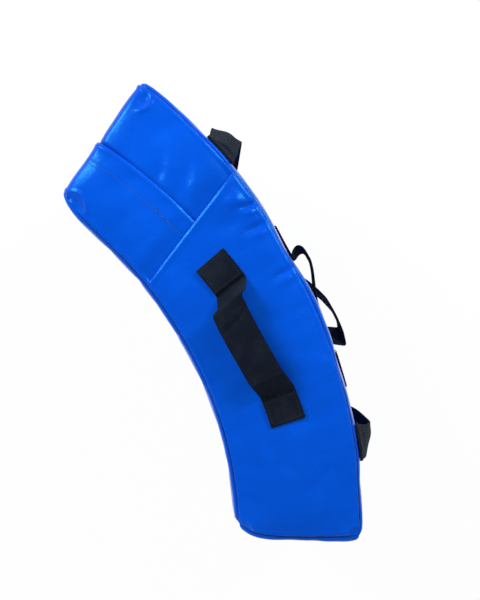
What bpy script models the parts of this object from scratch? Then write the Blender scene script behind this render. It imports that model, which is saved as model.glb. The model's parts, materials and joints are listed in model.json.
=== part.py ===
# A curved tackle shield: a laminated foam block in a coated-fabric cover, with webbing handles.
# It lies on its far side face. +Z goes up through its width, +X to its convex back, +Y to its mouth end.
# The foam follows an arc about an axis parallel to Z. s is a length along the arc at the centre radius,
# t is a distance out from the centre radius, and z is the height above the surface it lies on.

import math

import bmesh
import bpy
from mathutils import Matrix, Vector

# Block
CENTRE_RADIUS = 0.713  # from the arc's axis to the middle of the block
ARC_LENGTH = 0.637  # along the centre radius, over both ends
WIDTH = 0.400  # from the resting side face to the upper one
THICKNESS_TOP = 0.206  # strike face to back, at the mouth end
THICKNESS_BOTTOM = 0.172  # the same at the closed end
FACE_CROWN = 0.007  # how far the strike face and the back swell past their seams
SIDE_CROWN = 0.008  # the same for the two side faces
END_CROWN = 0.006  # the same for the two ends
CROWN_POWER = 4  # higher gives flatter faces with tighter shoulders
END_POWER = 6  # the same along the length
REST_SHARE = 0.78  # share of the side crown that the floor takes away

# Foam
STRIKE_LAYER = 0.050  # soft layer behind the strike face
BACK_LAYER = 0.050  # firm layer behind the handles

# Cover
FABRIC = 0.0008  # thickness of the coated fabric
GAP = 0.0003  # clearance between the edges of pieces that meet
LAYER_GAP = 0.0005  # clearance between crowned layers that lie on each other
FOAM_GAP = 0.0011  # the same between the foam and its cover
MOUTH_LENGTH = 0.172  # from the mouth end to the hems of the side panels
TUCK = 0.012  # how far the flaps reach under the hems
FOAM_STEP = 0.016  # length over which the foam gives way to the flaps
TAIL_AT_SEAM = 0.0015  # the same beside a long seam, where the tail is cut back
TAIL_TAPER = 0.025  # width over which it is cut back
TAIL_ROOM = 0.002  # from the flaps' tails to the foam's step
OUTER_EDGE_AT_END = -0.006  # free edge of the outer flap, as t, at the mouth end
OUTER_EDGE_AT_HEM = 0.010  # the same at the hem
FLAP_OVERLAP = 0.029  # how far the inner flap reaches under the outer one
TAPE_WIDTH = 0.025
TAPE = 0.0006  # thickness of the hook tape and of the loop tape
TAPE_SET_BACK = 0.002  # from the outer flap's free edge to the hook tape

# Handles. A root is where the webbing leaves the cover, and the sewn end runs on past it.
WEBBING_WIDTH = 0.050
WEBBING = 0.0018  # thickness of the webbing
CUT_BACK = 0.003  # from a root to the cut edge of the folded end
GRIP_GAP = 0.0008  # clearance between a grip and its ends
SIDE_ROOTS = (0.0467, -0.117)  # upper and lower root of the side handle, as s
SIDE_SEWN = (0.047, 0.042)  # length of its two sewn ends
SIDE_RISE = 0.033  # height of its grip above the cover
SIDE_SHIFTS = (-0.0015, 0.0025)  # how far its roots lie towards the back from the middle
BACK_ROOTS = (0.031, -0.093)  # both back handles, as s
BACK_SEWN = (0.049, 0.048)
NEAR_BACK_DEPTH = 0.100  # from the near side face to the middle of its handle
NEAR_BACK_RISE = 0.035
FAR_BACK_DEPTH = 0.110  # from the far side face to the middle of its handle
FAR_BACK_RISE = 0.044
ARM_ROOT_DEPTH = 0.050  # from the side faces to the roots of the arm straps
ARM_SEWN = (0.038, 0.038)
UPPER_ARM_PAST_HINGE = 0.030  # from the line where the mouth bends to the strap's middle
UPPER_ARM_RISE = 0.042
UPPER_ARM_TILT = 0.30  # how far its lower edge stands off more than its upper one, in radians
LOWER_ARM_FROM_END = 0.113  # from the closed end to the strap's middle
LOWER_ARM_RISE = 0.029

# Steps of the crowned surfaces
BODY_ROWS = 14  # from the closed end to the foam's step
HEM_ROWS = 2  # the foam's step, and the tuck under the hems
MOUTH_ROWS = 6  # from the hems to the mouth end
WIDTH_STEPS = 10
FACET = 0.011  # width of a facet across the side faces
FOAM_STEPS = 5  # through the thickness of each foam layer
WEBBING_STEP = 0.009  # length of a facet along the webbing
WEBBING_STEPS_ACROSS = 2
FOLD_STEPS = 4  # in the turn of a folded webbing end
FOLD_RUNS = 3  # along each layer of a folded webbing end
SETTLING_PASSES = 3  # for a point whose s and t depend on each other a little
SHARP_ANGLE = math.radians(40)
MERGE = 0.00001

# Finish: base colour and roughness
BLUE_COATED_FABRIC = (0.0008, 0.085, 0.64), 0.42
BLACK_WEBBING = (0.011, 0.015, 0.026), 0.75
BLACK_HOOK_TAPE = (0.012, 0.014, 0.018), 0.8
BLACK_LOOP_TAPE = (0.012, 0.014, 0.018), 0.9
FIRM_GREY_FOAM = (0.42, 0.43, 0.45), 0.9
SOFT_CREAM_FOAM = (0.72, 0.66, 0.50), 0.9

# Sizes that follow from the ones above
HALF_LENGTH = ARC_LENGTH / 2
HALF_SWEEP = HALF_LENGTH / CENTRE_RADIUS
UNDER_FABRIC = FABRIC + GAP
FOAM_INSET = FABRIC + FOAM_GAP
OUTER_FLAP_INSET = FABRIC + LAYER_GAP
HOOK_INSET = OUTER_FLAP_INSET + FABRIC + LAYER_GAP
LOOP_INSET = HOOK_INSET + TAPE + LAYER_GAP
INNER_FLAP_INSET = LOOP_INSET + TAPE + LAYER_GAP
FOAM_MOUTH_INSET = INNER_FLAP_INSET + FABRIC + FOAM_GAP
EDGE = HALF_LENGTH - END_CROWN  # where the end faces' seams are
HINGE_ROW = BODY_ROWS + HEM_ROWS  # where the strike face and the back bend as the mouth opens
ROWS = HINGE_ROW + MOUTH_ROWS
UNDER_WEBBING = LAYER_GAP + WEBBING / 2  # from the cover to the middle of webbing that lies on it

for old in list(bpy.data.objects):
    bpy.data.objects.remove(old, do_unlink=True)

collection = bpy.data.collections.new("curved_tackle_shield")
bpy.context.scene.collection.children.link(collection)


# The block's own coordinates

def toWorld(s, t, z):
    radius = CENTRE_RADIUS + t
    angle = s / CENTRE_RADIUS
    return Vector((radius * math.cos(angle) - CENTRE_RADIUS, radius * math.sin(angle), z))


def swell(share, power=CROWN_POWER):
    return 1 - min(1, abs(share)) ** power


def seamHalf(s):
    """Half the thickness at the seams."""
    towardsTop = min(1, max(0, s / ARC_LENGTH + 0.5))
    thickness = THICKNESS_BOTTOM + (THICKNESS_TOP - THICKNESS_BOTTOM) * towardsTop
    return thickness / 2 - FACE_CROWN


def faceHalf(s, z, inset=0.0):
    """From the centre radius to the strike face or to the back."""
    across = (2 * z - WIDTH) / (WIDTH - 2 * SIDE_CROWN)
    crown = FACE_CROWN * swell(across) * swell(s / EDGE, END_POWER)
    return seamHalf(s) + crown - inset


def sideHalf(s, t, resting, inset=0.0):
    """From the middle of the width to a side face. The resting one is flat where the floor takes it."""
    crown = swell(t / seamHalf(s)) * swell(s / EDGE, END_POWER)
    if resting:
        crown = min(1, crown / REST_SHARE)
    return WIDTH / 2 - SIDE_CROWN * (1 - crown) - inset


def endHalf(end, t, z, inset=0.0):
    """From the middle of the length to an end face. end is 1 for the mouth and -1 for the closed end."""
    across = (2 * z - WIDTH) / (WIDTH - 2 * SIDE_CROWN)
    crown = swell(t / seamHalf(end * HALF_LENGTH)) * swell(across)
    return EDGE + END_CROWN * crown - inset


def hemAt(t):
    """Where the side panels' straight hems cross t. They run parallel to the mouth end's edge."""
    return CENTRE_RADIUS * (HALF_SWEEP - math.asin(MOUTH_LENGTH / (CENTRE_RADIUS + t)))


def outerEdge(s):
    """Free edge of the outer flap."""
    hem = hemAt(OUTER_EDGE_AT_HEM)
    share = (s - hem) / (HALF_LENGTH - hem)
    return OUTER_EDGE_AT_HEM + (OUTER_EDGE_AT_END - OUTER_EDGE_AT_HEM) * share


def innerEdge(s):
    """Free edge of the inner flap, under the outer one."""
    return outerEdge(s) - FLAP_OVERLAP


def between(low, high, share):
    return low + (high - low) * share


def station(row, t, bottom, top):
    """Where row number row of the crowned surfaces lies at t. The rows turn to follow the hems."""
    stepEnd = hemAt(t) - TUCK - TAIL_ROOM
    marks = [
        (0, bottom),
        (BODY_ROWS, stepEnd - FOAM_STEP),
        (BODY_ROWS + 1, stepEnd),
        (HINGE_ROW, hemAt(t)),
        (ROWS, top),
    ]
    for (first, start), (last, end) in zip(marks, marks[1:]):
        if row <= last:
            break
    return between(start, end, (row - first) / (last - first))


def facets(length):
    return max(1, round(length / FACET))


def hingeAt(side):
    """Where the strike face or the back bends as the mouth opens."""
    s = hemAt(side * THICKNESS_TOP / 2)
    return toWorld(s, side * faceHalf(s, WIDTH / 2), WIDTH / 2)


# Makers

def material(name, finish):
    colour, roughness = finish
    made = bpy.data.materials.new(name)
    made.use_nodes = True
    shader = made.node_tree.nodes["Principled BSDF"]
    shader.inputs["Base Color"].default_value = (*colour, 1)
    shader.inputs["Roughness"].default_value = roughness
    shader.inputs["Metallic"].default_value = 0
    return made


def keep(name, mesh, finish):
    mesh.materials.append(material(name, finish))
    made = bpy.data.objects.new(name, mesh)
    collection.objects.link(made)
    mesh.shade_smooth()
    mesh.set_sharp_from_angle(angle=SHARP_ANGLE)
    return made


def finishMesh(name, bm, place):
    for vertex in bm.verts:
        vertex.co = place(*vertex.co)
    bmesh.ops.remove_doubles(bm, verts=bm.verts, dist=MERGE)
    mesh = bpy.data.meshes.new(name)
    bm.to_mesh(mesh)
    bm.free()
    return mesh


def sheet(name, columns, rows, place, outward, thickness=FABRIC, finish=BLUE_COATED_FABRIC, offset=-1):
    """A sheet on a grid. place takes u and v from 0 to 1. outward is the way its face looks."""
    bm = bmesh.new()
    bmesh.ops.create_grid(bm, x_segments=columns, y_segments=rows, size=1)
    mesh = finishMesh(name, bm, lambda x, y, z: place((x + 1) / 2, (y + 1) / 2))
    middle = mesh.polygons[columns * (rows // 2) + columns // 2]
    if middle.normal.dot(outward) < 0:
        mesh.flip_normals()
    made = keep(name, mesh, finish)
    wall = made.modifiers.new("Thickness", "SOLIDIFY")
    wall.thickness = thickness
    wall.offset = offset
    wall.use_even_offset = True
    return made


def block(name, cuts, place, finish):
    """A cube cut into a grid on its faces, then placed. place takes x, y and z from -1 to 1."""
    bm = bmesh.new()
    bmesh.ops.create_cube(bm, size=2)
    for axis, count in enumerate(cuts):
        normal = Vector([float(axis == n) for n in range(3)])
        for step in range(1, count):
            geometry = bm.verts[:] + bm.edges[:] + bm.faces[:]
            onPlane = normal * between(-1, 1, step / count)
            bmesh.ops.bisect_plane(bm, geom=geometry, plane_co=onPlane, plane_no=normal)
    return keep(name, finishMesh(name, bm, place), finish)


def hang(name, at, pieces):
    """An empty on a joint's axis, which the pieces turn with."""
    pivot = bpy.data.objects.new(name, None)
    pivot.location = at
    collection.objects.link(pivot)
    for piece in pieces:
        piece.parent = pivot
        piece.matrix_parent_inverse = Matrix.Translation(-at)
    return pivot


# Foam

def foamLayer(name, low, high, finish):
    """One bonded layer. low and high give its two faces, as t, from s and z.
    Beside the mouth the foam gives way to the closure's layers, and it fills the cover elsewhere."""

    def place(x, y, z):
        row = (y + 1) / 2 * ROWS
        height = between(SIDE_CROWN, WIDTH - SIDE_CROWN, (z + 1) / 2)
        s = station(row, 0, -EDGE, EDGE)
        for _ in range(SETTLING_PASSES):
            t = between(low(s, height), high(s, height), (x + 1) / 2)
            bottom = -endHalf(-1, t, height, FOAM_INSET)
            s = station(row, t, bottom, endHalf(1, t, height, FOAM_MOUTH_INSET))
        inset = FOAM_INSET if row <= BODY_ROWS else FOAM_MOUTH_INSET
        return toWorld(s, t, WIDTH / 2 + z * sideHalf(s, t, z < 0, inset))

    return block(name, (FOAM_STEPS, ROWS, WIDTH_STEPS), place, finish)


def strikeFoamFace(s, z):
    return -faceHalf(s, z, FOAM_INSET)


def backFoamFace(s, z):
    return faceHalf(s, z, FOAM_INSET)


def strikeBond(s, z):
    return -seamHalf(s) + STRIKE_LAYER


def backBond(s, z):
    return seamHalf(s) - BACK_LAYER


foamLayer("foam_strike_layer", strikeFoamFace, lambda s, z: strikeBond(s, z) - GAP, SOFT_CREAM_FOAM)
foamLayer("foam_core", strikeBond, backBond, FIRM_GREY_FOAM)
foamLayer("foam_back_layer", lambda s, z: backBond(s, z) + GAP, backFoamFace, FIRM_GREY_FOAM)


# Cover: the two side panels, with their straight hems over the closure

def sidePanel(name, resting):
    up = -1 if resting else 1
    bottom = -EDGE + UNDER_FABRIC

    def place(u, v):
        s = station(v * HINGE_ROW, 0, bottom, EDGE)
        for _ in range(SETTLING_PASSES):
            t = between(-1, 1, u) * seamHalf(s)
            s = station(v * HINGE_ROW, t, bottom, EDGE)
        return toWorld(s, t, WIDTH / 2 + up * sideHalf(s, t, resting))

    sheet(name, facets(THICKNESS_TOP), HINGE_ROW, place, Vector((0, 0, up)))


sidePanel("near_side_panel", False)
sidePanel("far_side_panel", True)


# Cover: strike face and back, each in two lengths that meet where the mouth bends open

def facePanel(name, side, firstRow, lastRow, startGap, edgeInset):
    """side is -1 for the strike face and 1 for the back.
    edgeInset is how far it stops short of the side seams, and of the mouth end if it reaches it."""

    def place(u, v):
        z = between(SIDE_CROWN, WIDTH - SIDE_CROWN, u)
        row = between(firstRow, lastRow, v)
        s = station(row, side * THICKNESS_TOP / 2, -EDGE + UNDER_FABRIC, EDGE - edgeInset)
        s += startGap if v == 0 else 0
        s -= GAP / 2 if v == 1 and lastRow < ROWS else 0
        height = min(WIDTH - SIDE_CROWN - edgeInset, max(SIDE_CROWN + edgeInset, z))
        return toWorld(s, side * faceHalf(s, height), height)

    outward = (toWorld(0, side, 0) - toWorld(0, 0, 0)).normalized()
    return sheet(name, WIDTH_STEPS, lastRow - firstRow, place, outward)


facePanel("strike_panel", -1, 0, HINGE_ROW, 0, UNDER_FABRIC)
facePanel("back_panel", 1, 0, HINGE_ROW, 0, UNDER_FABRIC)
strikeMouth = facePanel("strike_panel_mouth", -1, HINGE_ROW, ROWS, GAP / 2, OUTER_FLAP_INSET)
backMouth = facePanel("back_panel_mouth", 1, HINGE_ROW, ROWS, GAP / 2, INNER_FLAP_INSET)


# Cover: the closed end

def endPanelPlace(u, v):
    t = between(-1, 1, u) * seamHalf(-HALF_LENGTH)
    z = between(SIDE_CROWN, WIDTH - SIDE_CROWN, v)
    return toWorld(-endHalf(-1, t, z), t, z)


closedEndOutward = toWorld(-HALF_LENGTH - 1, 0, 0) - toWorld(-HALF_LENGTH, 0, 0)
sheet("bottom_end_panel", facets(THICKNESS_BOTTOM), WIDTH_STEPS, endPanelPlace, closedEndOutward)


# Closure: each flap is one strip that runs up the near side, over the mouth end and down the far side

def tuckAt(t):
    """How far a flap's tail reaches under the hem. Beside the long seams it is cut back, to open freely."""
    fromSeam = seamHalf(hemAt(t)) - abs(t)
    return between(TAIL_AT_SEAM, TUCK, min(1, max(0, fromSeam / TAIL_TAPER)))


def stripPlace(low, high, inset, tucked):
    """low and high give the strip's two long edges, as t, from s."""
    rows = MOUTH_ROWS + (1 if tucked else 0)

    def onSide(u, row, resting):
        s = HALF_LENGTH
        for _ in range(SETTLING_PASSES):
            t = between(low(s), high(s), u)
            s = station(ROWS - row, t, 0, endHalf(1, t, SIDE_CROWN, inset))
            s = max(s, hemAt(t) - (tuckAt(t) if tucked else 0))
        up = -1 if resting else 1
        return toWorld(s, t, WIDTH / 2 + up * sideHalf(s, t, resting, inset))

    def onEnd(u, share):
        t = between(low(HALF_LENGTH), high(HALF_LENGTH), u)
        z = between(SIDE_CROWN, WIDTH - SIDE_CROWN, share)
        s = endHalf(1, t, z, inset)
        return toWorld(s, t, min(WIDTH - SIDE_CROWN - inset, max(SIDE_CROWN + inset, z)))

    def place(u, v):
        row = v * (2 * rows + WIDTH_STEPS)
        if row < rows:
            return onSide(u, rows - row, False)
        if row > rows + WIDTH_STEPS:
            return onSide(u, row - rows - WIDTH_STEPS, True)
        return onEnd(u, 1 - (row - rows) / WIDTH_STEPS)

    return place, 2 * rows + WIDTH_STEPS


def strip(name, low, high, inset, tucked, thickness=FABRIC, finish=BLUE_COATED_FABRIC):
    outward = toWorld(HALF_LENGTH + 1, 0, 0) - toWorld(HALF_LENGTH, 0, 0)
    place, rows = stripPlace(low, high, inset, tucked)
    columns = facets(high(HALF_LENGTH) - low(HALF_LENGTH))
    return sheet(name, columns, rows, place, outward, thickness, finish)


def hookLow(s):
    return outerEdge(s) - TAPE_SET_BACK - TAPE_WIDTH


def hookHigh(s):
    return outerEdge(s) - TAPE_SET_BACK


def strikeSeam(s):
    return -seamHalf(s) + UNDER_FABRIC


def backSeam(s):
    return seamHalf(s) - UNDER_FABRIC


outerFlap = strip("outer_closure_flap", strikeSeam, outerEdge, OUTER_FLAP_INSET, True)
innerFlap = strip("inner_closure_flap", innerEdge, backSeam, INNER_FLAP_INSET, True)
hookTape = strip("closure_hook_tape", hookLow, hookHigh, HOOK_INSET, False, TAPE, BLACK_HOOK_TAPE)
loopTape = strip("closure_loop_tape", hookLow, hookHigh, LOOP_INSET, False, TAPE, BLACK_LOOP_TAPE)


# Webbing

def smoothRoute(points):
    """A smooth run through the control points, each run, side, height and tilt."""
    points = [Vector(p) for p in points]
    ends = [points[0] * 2 - points[1]] + points + [points[-1] * 2 - points[-2]]
    route = []
    for before, start, end, after in zip(ends, ends[1:], ends[2:], ends[3:]):
        steps = max(2, round((end.to_3d() - start.to_3d()).length / WEBBING_STEP))
        for step in range(steps):
            x = step / steps
            route.append(
                0.5 * (2 * start + (end - before) * x + (2 * before - 5 * start + 4 * end - after) * x * x
                       + (3 * start - before - 3 * end + after) * x ** 3)
            )
    route.append(points[-1])
    return route


def foldedEnd(root, outer, side):
    """The sewn end: the webbing lies on the cover from the root to the outer end and folds back over itself.
    Its points run from the cut edge on top to the root underneath."""
    high = UNDER_WEBBING + WEBBING + 2 * GAP
    way = 1 if outer > root else -1
    bend = (high - UNDER_WEBBING) / 2
    turn = outer - way * (bend + WEBBING / 2)
    cutEdge = root + way * CUT_BACK
    points = [Vector((between(cutEdge, turn, k / FOLD_RUNS), side, high, 0)) for k in range(FOLD_RUNS)]
    for k in range(FOLD_STEPS + 1):
        angle = math.pi / 2 - math.pi * k / FOLD_STEPS
        run = turn + way * bend * math.cos(angle)
        points.append(Vector((run, side, UNDER_WEBBING + bend + bend * math.sin(angle), 0)))
    for k in range(1, FOLD_RUNS):
        points.append(Vector((between(turn, root, k / FOLD_RUNS), side, UNDER_WEBBING, 0)))
    return points


def webbing(name, route, place):
    """A length of webbing along a route. place takes run, side and height to the world."""
    half = WEBBING_WIDTH / 2
    last = len(route) - 1

    def on(u, v):
        run, side, height, tilt = route[round(v * last)]
        reach = between(-half, half, u)
        return place(run, side + reach * math.cos(tilt), height + reach * math.sin(tilt))

    return sheet(name, WEBBING_STEPS_ACROSS, last, on, Vector((0, 0, 1)), WEBBING, BLACK_WEBBING, 0)


def cutRoute(route, start, end, gapAtStart, gapAtEnd):
    """The route between two shares of its length, less a gap at each."""
    lengths = [0.0]
    for here, there in zip(route, route[1:]):
        lengths.append(lengths[-1] + (there - here).length)
    first = start * lengths[-1] + gapAtStart
    last = end * lengths[-1] - gapAtEnd

    def at(length):
        n = max(k for k in range(len(lengths) - 1) if lengths[k] <= length + MERGE)
        return route[n].lerp(route[n + 1], (length - lengths[n]) / (lengths[n + 1] - lengths[n]))

    margin = WEBBING_STEP / 3
    inside = [point for point, length in zip(route, lengths) if first + margin < length < last - margin]
    return [at(first)] + inside + [at(last)]


def handle(name, place, roots, sewn, rise, shape, grip, shifts=(0, 0)):
    """A handle in three lengths: two sewn ends, which twist as it swings, and the grip between them.
    shape holds control points between the roots, each with its share of the way from the first root to
    the second, its shift to the side, its share of rise and its tilt. grip is the shares of the length
    where the grip starts and ends."""
    upper, lower = roots
    body = [(between(upper, lower, share), side, rise * up, tilt) for share, side, up, tilt in shape]
    first = (upper, shifts[0], UNDER_WEBBING, 0)
    last = (lower, shifts[1], UNDER_WEBBING, 0)
    route = smoothRoute([first, *body, last])
    half = GRIP_GAP / 2
    upperEnd = foldedEnd(upper, upper + sewn[0], shifts[0]) + cutRoute(route, 0, grip[0], 0, half)
    lowerEnd = foldedEnd(lower, lower - sewn[1], shifts[1]) + cutRoute(route, grip[1], 1, half, 0)[::-1]
    ends = [webbing(name + "_upper_end", upperEnd, place), webbing(name + "_lower_end", lowerEnd, place)]
    loop = webbing(name + "_grip", cutRoute(route, grip[0], grip[1], half, half), place)
    middle = (place(*first[:3]) + place(*last[:3])) / 2
    return ends + [hang(name + "_pivot", middle, [loop])]


def onNearSide(run, side, height):
    return toWorld(run, side, WIDTH / 2 + sideHalf(run, side, False) + height)


def onBackAlong(middle):
    """For a handle that runs along the back, with its middle at height middle."""

    def place(run, side, height):
        z = middle + side
        return toWorld(run, faceHalf(run, z) + height, z)

    return place


def onBackAcross(middle):
    """For a strap that runs across the back, at arc position middle."""

    def place(run, side, height):
        z = WIDTH / 2 + run
        s = middle - side
        return toWorld(s, faceHalf(s, z) + height, z)

    return place


# Side handle: its grip hangs towards the strike face
sideShape = [
    (0.04, -0.003, 0.30, 0.10),
    (0.10, -0.009, 0.73, 0.15),
    (0.175, -0.015, 0.97, 0.10),
    (0.41, -0.016, 1.00, 0.0),
    (0.65, -0.014, 0.94, 0.0),
    (0.835, -0.009, 0.76, -0.05),
    (0.945, -0.001, 0.30, -0.03),
]
handle("side_handle", onNearSide, SIDE_ROOTS, SIDE_SEWN, SIDE_RISE, sideShape, (0.21, 0.80), SIDE_SHIFTS)

# Back handles: the near one is slack at its upper end and the far one at its lower end
nearShape = [
    (-0.024, 0, 0.26, 0),
    (-0.065, 0, 0.60, 0),
    (-0.040, 0, 0.91, 0),
    (0.089, 0, 1.00, 0),
    (0.30, 0, 0.71, 0),
    (0.46, 0, 0.49, 0),
    (0.735, 0, 0.23, 0),
    (0.895, 0, 0.09, 0),
]
farShape = [
    (0.09, 0, 0.14, 0),
    (0.25, 0, 0.50, 0),
    (0.49, 0, 0.82, 0),
    (0.775, 0, 1.00, 0),
    (0.99, 0, 1.00, 0),
    (1.105, 0, 0.75, 0),
    (1.08, 0, 0.34, 0),
]
nearPlace = onBackAlong(WIDTH - NEAR_BACK_DEPTH)
handle("near_back_handle", nearPlace, BACK_ROOTS, BACK_SEWN, NEAR_BACK_RISE, nearShape, (0.13, 0.47))
farPlace = onBackAlong(FAR_BACK_DEPTH)
handle("far_back_handle", farPlace, BACK_ROOTS, BACK_SEWN, FAR_BACK_RISE, farShape, (0.27, 0.80))


# Arm straps: they run across the back, and a forearm goes through them
def armStrap(name, middle, rise, tilt):
    reach = WIDTH / 2 - ARM_ROOT_DEPTH
    arch = [
        (0.023, 0, 0.30, 0.3 * tilt),
        (0.067, 0, 0.55, 0.7 * tilt),
        (0.167, 0, 0.85, tilt),
        (0.333, 0, 0.98, tilt),
        (0.500, 0, 1.00, tilt),
    ]
    shape = arch + [(1 - share, side, up, lean) for share, side, up, lean in arch[-2::-1]]
    return handle(name, onBackAcross(middle), (reach, -reach), ARM_SEWN, rise, shape, (0.19, 0.81))


upperArmMiddle = hemAt(THICKNESS_TOP / 2) + UPPER_ARM_PAST_HINGE
upperArm = armStrap("upper_arm_strap", upperArmMiddle, UPPER_ARM_RISE, UPPER_ARM_TILT)
armStrap("lower_arm_strap", LOWER_ARM_FROM_END - HALF_LENGTH, LOWER_ARM_RISE, 0)

# The mouth: its two lips bend away from each other at the hems
hang("outer_mouth_hinge", hingeAt(-1), [outerFlap, strikeMouth, hookTape])
hang("inner_mouth_hinge", hingeAt(1), [innerFlap, backMouth, loopTape, *upperArm])
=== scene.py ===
import json
import math

import bmesh
import bpy
import numpy as np
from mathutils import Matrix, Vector
from mathutils.bvhtree import BVHTree


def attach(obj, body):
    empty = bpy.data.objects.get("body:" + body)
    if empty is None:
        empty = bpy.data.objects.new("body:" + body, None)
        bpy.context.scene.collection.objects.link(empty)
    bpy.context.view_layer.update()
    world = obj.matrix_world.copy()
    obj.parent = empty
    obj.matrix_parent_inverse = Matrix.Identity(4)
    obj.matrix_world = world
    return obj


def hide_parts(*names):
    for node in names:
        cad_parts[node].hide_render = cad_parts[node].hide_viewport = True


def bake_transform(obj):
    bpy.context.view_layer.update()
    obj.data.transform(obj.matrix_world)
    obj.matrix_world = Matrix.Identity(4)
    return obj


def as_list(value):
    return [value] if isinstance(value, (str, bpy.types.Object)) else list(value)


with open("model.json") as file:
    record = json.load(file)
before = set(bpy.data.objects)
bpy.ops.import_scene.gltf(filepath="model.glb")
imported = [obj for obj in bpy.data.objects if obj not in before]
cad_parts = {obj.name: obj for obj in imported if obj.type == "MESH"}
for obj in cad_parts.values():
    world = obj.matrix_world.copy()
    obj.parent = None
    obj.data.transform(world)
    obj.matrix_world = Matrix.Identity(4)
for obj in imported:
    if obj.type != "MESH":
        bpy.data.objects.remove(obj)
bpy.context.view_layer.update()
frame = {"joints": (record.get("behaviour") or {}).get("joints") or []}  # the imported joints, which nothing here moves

scene = bpy.context.scene


# The shield's own coordinates, in metres: s along the curve's middle, t from there towards the back, z up

shield = {
    "centreRadius": 0.713,  # the curve's axis to the middle of the block
    "arcLength": 0.637,
    "width": 0.400,
    "strikeSeamClosed": 0.0867,  # from the middle to the strike face's seams, at the closed end
    "strikeSeamMore": 0.014,  # how much further out they are at the mouth
    "strikeWidens": (-0.200, 0.230),  # between which s they move out
    "strikeWidenCurve": 1.3,
    "backSeam": 0.0945,  # from the middle to the back's seams, halfway along
    "backSeamSlope": 0.0265,
    "strikeCrown": 0.0068,  # how far the strike face swells past its seams
    "backCrown": 0.0060,
    "faceShoulder": 0.0065,  # how soon they do
    "strikeMouthShoulder": 0.018,
    "backMouthShoulder": 0.003,
    "flatShoulder": 0.035,  # the back's, where the handles are sewn on
    "handlePull": 0.9,  # how far the handles keep the back flat there
    "handlesAt": [(0.050, 0.045), (-0.108, 0.026)],  # where that is: middle and reach along the curve
    "sideCrown": 0.008,
    "sideShoulder": 0.017,
    "endCrown": 0.0085,
    "endShoulder": 0.006,
    "endRound": 0.009,  # radius of the flaps' turn over the mouth end
    "mouthDrop": 0.0075,  # how far the flaps sink towards the mouth end
    "mouthShoulder": 0.016,
    "mouthLength": 0.172,  # from the mouth end to the side panels' hems
    "mouthSwell": 0.0056,
    "mouthLean": 0.020,  # how much longer the back is there, as a slope
    "mouthLeanMore": 0.028,  # what the inner flap adds to that, past mouthBend
    "mouthBend": 0.020,
    "mouthStep": 0.0015,
    "closedSwell": 0.003,
    "closedLean": 0.022,  # how much longer the back is than the strike face at the closed end, as a slope
    "backMouthAhead": 0.006,  # how far past the mouth the back's corner is drawn in from
    "tuck": 0.011,  # how far the flaps reach in under the hems
}
cornerDraw = {  # how far the seams are drawn in at each corner, and how soon that fades
    "strikeMouth": (0.0125, 0.024),
    "backMouth": (0.003, 0.012),
    "strikeEnd": (0.0015, 0.008),
    "backEnd": (0.0035, 0.006),
    "strikeClosed": (0.024, 0.018),
    "backClosed": (0.004, 0.010),
}
backDips = {"sewn": 0.0036, "mouth": (0.0012, 0.190, 0.240), "closed": (0.003, 0.215, 0.260)}
curveRadius = shield["centreRadius"]
halfLength = shield["arcLength"] / 2
width = shield["width"]
seamHigh = width - shield["sideCrown"]  # height of the near side's seams
seamLow = shield["sideCrown"]  # and of the far side's
nearMouth = 0.300  # an s at which the mouth end reads the long seams


def toWorld(s, t, z):
    s, t, z = np.broadcast_arrays(s, t, z)
    angle, out = s / curveRadius, curveRadius + t
    return np.stack([out * np.cos(angle) - curveRadius, out * np.sin(angle), z], -1)


def rise(distance, reach):  # 0 at a seam, 1 well away from it
    return 1 - np.exp(-np.maximum(distance, 0) / reach)


def bell(distance, reach):  # 1 in the middle, 0 well away from it
    return np.exp(-((distance / reach) ** 2))


def smooth(value, low, high):  # smoothstep between low and high
    x = np.clip((value - low) / (high - low), 0, 1)
    return x * x * (3 - 2 * x)


def mix(low, high, share):
    return low + (high - low) * share


def drawnIn(corner, distance):
    amount, reach = cornerDraw[corner]
    return amount * np.exp(-distance / reach)


def handlesNear(s):  # how strongly each row of handles holds the back, at s
    return [bell(s - middle, reach) for middle, reach in shield["handlesAt"]]


def seamOut(s, side):  # from the middle to a long seam, side -1 for the strike face and 1 for the back
    low, high = shield["strikeWidens"]
    share = np.clip((s - low) / (high - low), 0, 1)
    strike = shield["strikeSeamClosed"] + shield["strikeSeamMore"] * share ** shield["strikeWidenCurve"]
    strike = strike - drawnIn("strikeMouth", np.maximum(halfLength - s, 0))
    back = shield["backSeam"] + shield["backSeamSlope"] * s - backDips["sewn"] * handlesNear(s)[0]
    for distance, place in ((-s, "closed"), (s, "mouth")):
        amount, start, end = backDips[place]
        back = back - amount * smooth(distance, start, end)
    back = back - drawnIn("backMouth", np.maximum(halfLength + shield["backMouthAhead"] - s, 0))
    return np.where(np.asarray(side) < 0, strike, back)


def inFromSeams(s, t):
    return np.minimum(t + seamOut(s, -1), seamOut(s, 1) - t)


def hemAt(t):  # the side panels' straight hems, parallel to the mouth end
    return curveRadius * (halfLength / curveRadius - np.arcsin(shield["mouthLength"] / (curveRadius + t)))


def closedSeam(t):  # the closed end's seams bow out, and its corners are drawn in
    corners = drawnIn("strikeClosed", t + seamOut(-halfLength, -1))
    corners = corners + drawnIn("backClosed", seamOut(-halfLength, 1) - t)
    return -(halfLength + shield["closedSwell"] + shield["closedLean"] * t) + corners


def mouthEnd(t):  # outer surface of the mouth end
    bend = shield["mouthBend"]
    lean = shield["mouthLean"] * t + shield["mouthLeanMore"] * np.maximum(t - bend, 0)
    lean = lean + shield["mouthStep"] * smooth(t, 0, bend)
    corners = drawnIn("strikeEnd", t + seamOut(nearMouth, -1))
    corners = corners + drawnIn("backEnd", seamOut(nearMouth, 1) - t)
    return halfLength + shield["mouthSwell"] + lean - corners


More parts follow.
